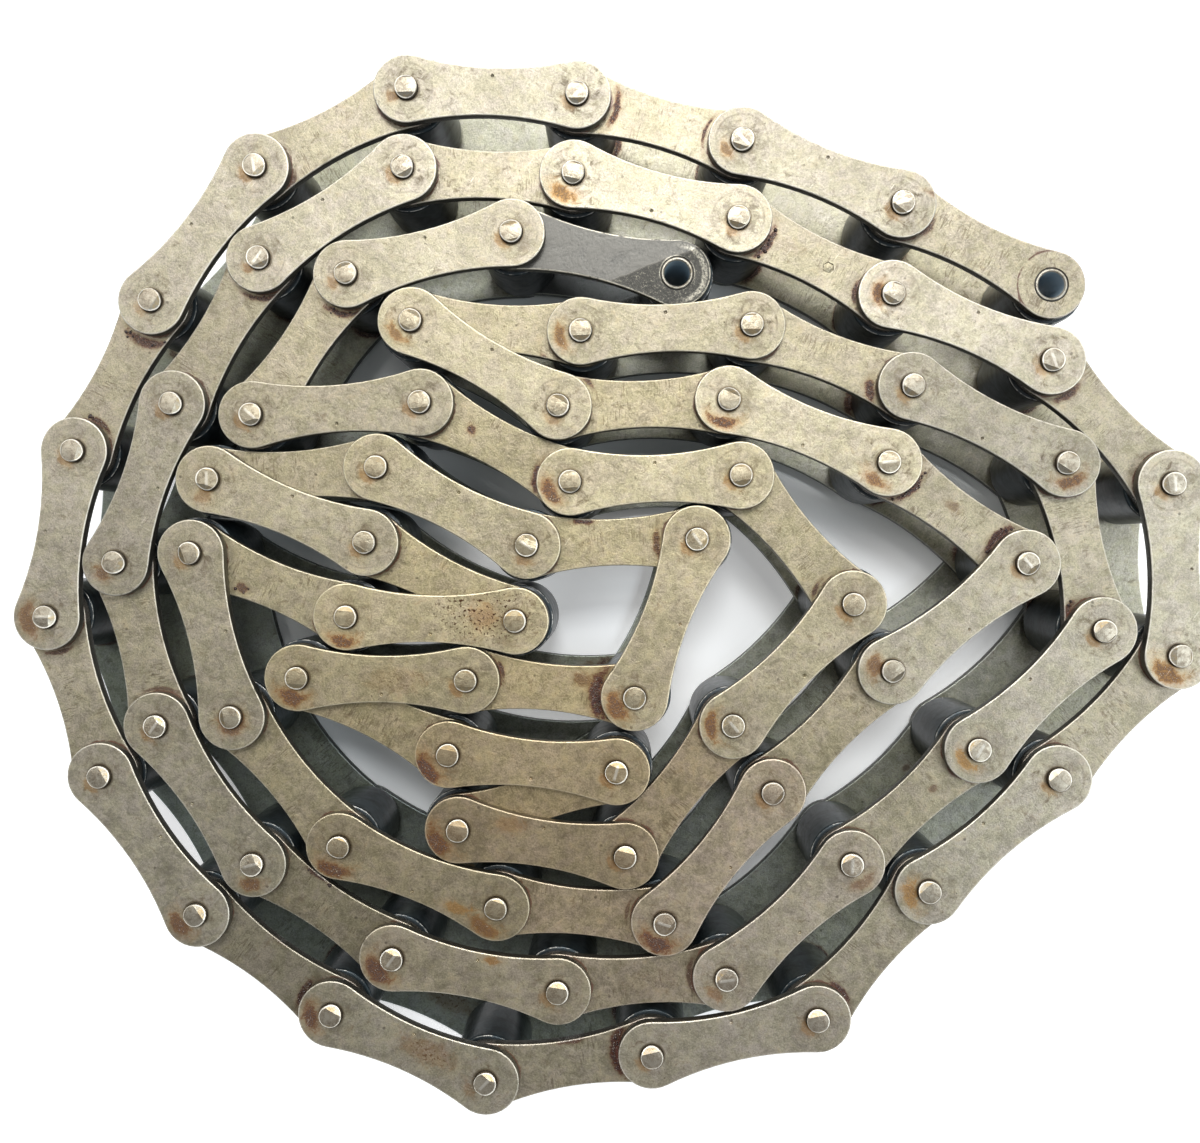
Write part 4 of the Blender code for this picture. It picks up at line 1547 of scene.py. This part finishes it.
@dataclass
class Crumbs:
    """Oily crumbs of grit lying on the upper inner plate of a link."""

    course: Course
    shape: PlateShape = field(default_factory=PlateShape)
    corners: int = 7
    smallest: float = 0.16 * MM
    largest: float = 0.48 * MM
    sunk: float = 0.05 * MM
    flatness: float = 0.9
    smooth_under: float = math.radians(50)

    def places(self, link: int) -> list[Vector]:
        """Scatters a link's crumbs over its marks of grease.

        Args:
            link: number of the link.

        Returns:
            Their places along and across the link.
        """
        dice = random.Random(f"crumbs {link}")
        turn = Matrix.Rotation(-self.course.heading(link), 2)
        found = []
        for joint in (link, link + 1):
            mark = GREASE.get(joint, NO_MARK)
            start = self.course.joints[joint] - self.course.joints[link]
            for _ in range(mark.lumps):
                angle = mark.direction + dice.uniform(-1, 1) * mark.long / mark.radius
                reach = (mark.radius + dice.gauss(0.0, 0.5) * mark.wide) / PIXELS_PER_METRE
                reach = max(reach, self.shape.sizes.plate_end_radius + self.largest)
                found.append(turn @ (start + reach * Vector((math.cos(angle), math.sin(angle)))))
        spot = SPOTS.get(link, NO_MARK)
        middle = turn @ Vector((spot.right, -spot.down)) / PIXELS_PER_METRE
        for _ in range(spot.lumps):
            spread = Vector((dice.uniform(-1, 1) * spot.long, dice.uniform(-1, 1) * spot.wide))
            found.append(middle + spread / PIXELS_PER_METRE)
        return [place for place in found if self.on_plate(place)]

    def on_plate(self, place: Vector) -> bool:
        """Whether a crumb there would lie on the plate."""
        between = 0.0 < place.x < self.shape.sizes.pitch
        return between and abs(place.y) < self.shape.half_width(place.x) - self.largest

    def build(self, link: int) -> Optional[bpy.types.Mesh]:
        """Makes a link's crumbs.

        Args:
            link: number of the link.

        Returns:
            Their mesh, or nothing where the link has none.
        """
        places = self.places(link)
        if not places:
            return None
        dice = random.Random(f"crumb shapes {link}")
        floor = self.shape.sizes.inner_high + self.shape.sizes.plate_thickness
        body = RingBody()
        for place in places:
            size = self.smallest + (self.largest - self.smallest) * dice.random() ** 2
            rings = []
            for share, rise in ((0.45, 1.0), (0.9, 0.62), (1.05, 0.15), (0.95, -self.sunk / size)):
                jitter = [dice.uniform(0.75, 1.2) * share * size for _ in range(self.corners)]
                turns = [math.tau * k / self.corners for k in range(self.corners)]
                ways = [(r * math.cos(a), r * math.sin(a)) for r, a in zip(jitter, turns)]
                corners = [(place.x + x, place.y + y) for x, y in ways]
                rings.append(body.ring(corners, floor + rise * size * self.flatness))
            body.drum(rings)
        return body.mesh("grit", self.smooth_under)


@dataclass
class Tubes:
    """Bushings and rollers of a roller link."""

    course: Course
    roller_sides: int = 56
    bushing_sides: int = 40
    bushing_edge: float = 0.3 * MM
    roller_edge: float = 0.48 * MM

    def turn(
        self, name: str, sides: int, bore: float, radius: float, low: float, high: float, edge: float,
        places: Sequence[float],
    ) -> bpy.types.Mesh:
        """Like upright tubes with broken edges, worn bright, whose corners carry a painted highlight.

        Args:
            name: name of the mesh.
            sides: number of facets round each.
            bore: radius of the bore.
            radius: radius outside.
            low: height of the lower end.
            high: height of the upper end.
            edge: how far the edges are broken.
            places: where they stand along the link.

        Returns:
            The mesh of them all.
        """
        soft = edge * 0.3
        profile = [(radius - edge, high, 0.0), (radius - soft, high - soft, 1.0), (radius, high - edge, 0.0)]
        profile += [(radius, high - 2 * edge, 0.0), (radius, low + 2 * edge, 0.0)]
        profile += [(radius, low + edge, 0.0), (radius - soft, low + soft, 1.0), (radius - edge, low, 0.0)]
        profile += [(bore + edge, low, 0.0), (bore, low + edge, 0.0)]
        profile += [(bore, high - edge, 0.0), (bore + edge, high, 0.0)]
        body = RingBody()
        for x in places:
            rings = [body.ring(round_ring(out, sides, x), height, wear_and_highlight) for out, height, wear_and_highlight in profile]
            body.skin(rings + rings[:1])
        return body.mesh(name)

    def rollers(self, places: Sequence[float]) -> bpy.types.Mesh:
        """Makes rollers.

        Args:
            places: where they stand along the link.

        Returns:
            The mesh of them all.
        """
        s = self.course.sizes
        low, high = s.inner_low + s.plate_thickness + s.gap, s.inner_high - s.gap
        bore, radius = s.bushing_radius + s.gap, s.roller_radius
        return self.turn("rollers", self.roller_sides, bore, radius, low, high, self.roller_edge, places)

    def bushings(self, places: Sequence[float]) -> bpy.types.Mesh:
        """Makes bushings.

        Args:
            places: where they stand along the link.

        Returns:
            The mesh of them all.
        """
        s = self.course.sizes
        low, high = s.inner_low, s.inner_high + s.plate_thickness
        bore, radius = s.bushing_bore, s.bushing_radius
        return self.turn("bushings", self.bushing_sides, bore, radius, low, high, self.bushing_edge, places)


class ChainCoil:
    """The whole coil: every link with its pieces."""

    def __init__(self, course: Course) -> None:
        """Makes the workshops for each kind of piece.

        Args:
            course: course of the chain.
        """
        self.course = course
        self.piece = Piece(course)
        self.plates = PlatePair(course)
        self.pins = PinPair(course)
        self.tubes = Tubes(course)
        self.crumbs = Crumbs(course)

    def build(self) -> None:
        """Builds and dresses every link."""
        both = (0.0, self.course.sizes.pitch)
        roller_mesh, bushing_mesh = self.tubes.rollers(both), self.tubes.bushings(both)
        for link in range(self.course.links):
            if self.course.kind(link) is LinkKind.PIN:
                self.pin_link(link)
            elif self.course.end_name(link):
                self.free_end(link, bushing_mesh)
            else:
                self.roller_link(link, roller_mesh, bushing_mesh)

    def pin_link(self, link: int) -> None:
        """Adds one pin link.

        Args:
            link: number of the link.
        """
        end = self.course.end_name(link)
        if end:
            plates = [f"{end}_pin_link_top_plate", f"{end}_pin_link_bottom_plate"]
            pins = [f"{end}_pin_{joint:02d}" for joint in (link, link + 1)]
        else:
            plates = pins = [self.course.solid(link)]
        punch = PUNCH if link in PUNCHED_LEFT else replace(PUNCH, across=-PUNCH.across)
        mesh = self.plates.build(LinkKind.PIN, punch)
        obj = self.piece.put(f"link_{link:02d}_outer_plates", mesh, OUTER_STEEL, link, solids=plates)
        self.plates.dress(obj, link)
        mesh = self.pins.build((link, link + 1))
        obj = self.piece.put(f"link_{link:02d}_pins", mesh, PIN_STEEL, link, solids=pins)
        self.pins.dress(obj, (link, link + 1))

    def roller_link(self, link: int, roller_mesh: bpy.types.Mesh, bushing_mesh: bpy.types.Mesh) -> None:
        """Adds one roller link inside the coil.

        Args:
            link: number of the link.
            roller_mesh: mesh of two rollers.
            bushing_mesh: mesh of two bushings.
        """
        solid = [self.course.solid(link)]
        mesh = self.plates.build(LinkKind.ROLLER, DENT if link == DENTED_LINK else None)
        obj = self.piece.put(f"link_{link:02d}_inner_plates", mesh, INNER_STEEL, link, solids=solid)
        self.plates.dress(obj, link)
        grit = self.crumbs.build(link)
        if grit:
            self.piece.put(f"link_{link:02d}_grit", grit, GRIT, link)
        self.piece.put(f"link_{link:02d}_rollers", roller_mesh, ROLLER_STEEL, link, solids=solid)
        self.piece.put(f"link_{link:02d}_bushings", bushing_mesh, BUSHING_STEEL, link, solids=solid)

    def free_end(self, link: int, bushing_mesh: bpy.types.Mesh) -> None:
        """Adds the roller link at one end, which swings on its hinge pin, with rollers that spin.

        Args:
            link: number of the link.
            bushing_mesh: mesh of two bushings.
        """
        end = self.course.end_name(link)
        body = f"{end}_link"
        finish = END_STEEL if end == "inner_end" else INNER_STEEL
        mesh = self.plates.build(LinkKind.ROLLER)
        solids = [f"{end}_top_plate", f"{end}_bottom_plate"]
        obj = self.piece.put(f"{end}_plates", mesh, finish, link, body, solids)
        self.plates.dress(obj, link)
        nodes = [f"{end}_free_bushing", f"{end}_hinge_bushing"]
        self.piece.put(f"{end}_bushings", bushing_mesh, BUSHING_STEEL, link, body, nodes)
        ends = (0.0, SIZES.pitch) if link == 0 else (SIZES.pitch, 0.0)
        for place, x in zip(("free", "hinge"), ends):
            mesh = self.tubes.rollers((x,))
            name = f"{end}_{place}_roller"
            self.piece.put(f"{name}_tube", mesh, ROLLER_STEEL, link, f"{name}_body", [name])


# Floor, light and camera


@dataclass(frozen=True)
class Softbox:
    """One large soft light."""

    name: str
    place: Trio
    size: tuple[float, float]
    power: float
    colour: Colour = (1.0, 1.0, 1.0)

    def build(self) -> None:
        """Hangs the light, facing the middle of the coil."""
        lamp = bpy.data.lights.new(self.name, "AREA")
        lamp.shape = "RECTANGLE"
        lamp.size, lamp.size_y = self.size
        lamp.energy = self.power
        lamp.color = self.colour
        obj = bpy.data.objects.new(self.name, lamp)
        obj.location = self.place
        obj.rotation_euler = Vector(self.place).to_track_quat("Z", "Y").to_euler()
        bpy.context.scene.collection.objects.link(obj)


@dataclass
class Studio:
    """Pale floor, soft light and the camera that looks down as the photograph does."""

    floor_half: float = 3.0
    camera_place: Point = (5.2137 * MM, 9.2714 * MM)
    camera_rise: float = 0.291
    camera_tilt: tuple[float, float] = (math.radians(-1.0), math.radians(1.33))
    image_width: float = 1200.0
    sensor: float = 36.0
    clip: tuple[float, float] = (0.01, 20.0)
    sky: Colour = (0.93, 0.96, 1.0)
    sky_strength: float = 0.42
    softboxes: tuple[Softbox, ...] = (
        Softbox("window_light", (0.15, 1.25, 1.3), (2.6, 1.1), 33.0, (1.0, 0.98, 0.94)),
        Softbox("ceiling_light", (0.06, 0.86, 2.1), (0.5, 0.4), 20.0, (0.95, 0.98, 1.0)),
        Softbox("right_light", (1.35, -0.25, 1.5), (0.9, 1.2), 17.0, (0.86, 0.94, 1.0)),
        Softbox("left_light", (-1.05, 0.42, 1.8), (0.5, 0.6), 4.5, (1.0, 0.99, 0.95)),
    )

    def build(self) -> None:
        """Builds the stage."""
        self.floor()
        self.light()
        self.camera()

    def floor(self) -> None:
        """Lays the floor under the pins."""
        body = RingBody()
        h = self.floor_half
        corners = body.ring(((-h, -h), (h, -h), (h, h), (-h, h)), 0.0)
        body.shape.faces.new(corners)
        mesh = body.mesh("floor")
        mesh.materials.append(PaleFloor("pale_floor", "").material())
        obj = bpy.data.objects.new("floor", mesh)
        bpy.context.scene.collection.objects.link(obj)

    def light(self) -> None:
        """Lights the sky and hangs the softboxes."""
        world = bpy.data.worlds.new("studio")
        bpy.context.scene.world = world
        world.use_nodes = True
        background = world.node_tree.nodes["Background"]
        background.inputs["Color"].default_value = (*self.sky, 1.0)
        background.inputs["Strength"].default_value = self.sky_strength
        for box in self.softboxes:
            box.build()
        bpy.context.scene.view_settings.view_transform = "Standard"

    def camera(self) -> None:
        """Sets the camera above the coil."""
        data = bpy.data.cameras.new("photo_camera")
        focal = PIXELS_PER_METRE * self.camera_rise
        data.sensor_width = self.sensor
        data.lens = self.sensor * focal / self.image_width
        data.clip_start, data.clip_end = self.clip
        obj = bpy.data.objects.new("photo_camera", data)
        height = SIZES.chain_width - SIZES.pin_head + self.camera_rise
        obj.location = (*self.camera_place, height)
        obj.rotation_euler = Euler((*self.camera_tilt, 0.0))
        bpy.context.scene.collection.objects.link(obj)
        bpy.context.scene.camera = obj


def main() -> None:
    """Builds the coil, then its stage."""
    logging.basicConfig(level=logging.INFO, format="%(message)s")
    course = Course(SIZES)
    log.info("the chain has %d links", course.links)
    ChainCoil(course).build()
    Studio().build()


if __name__ == "__main__":
    main()
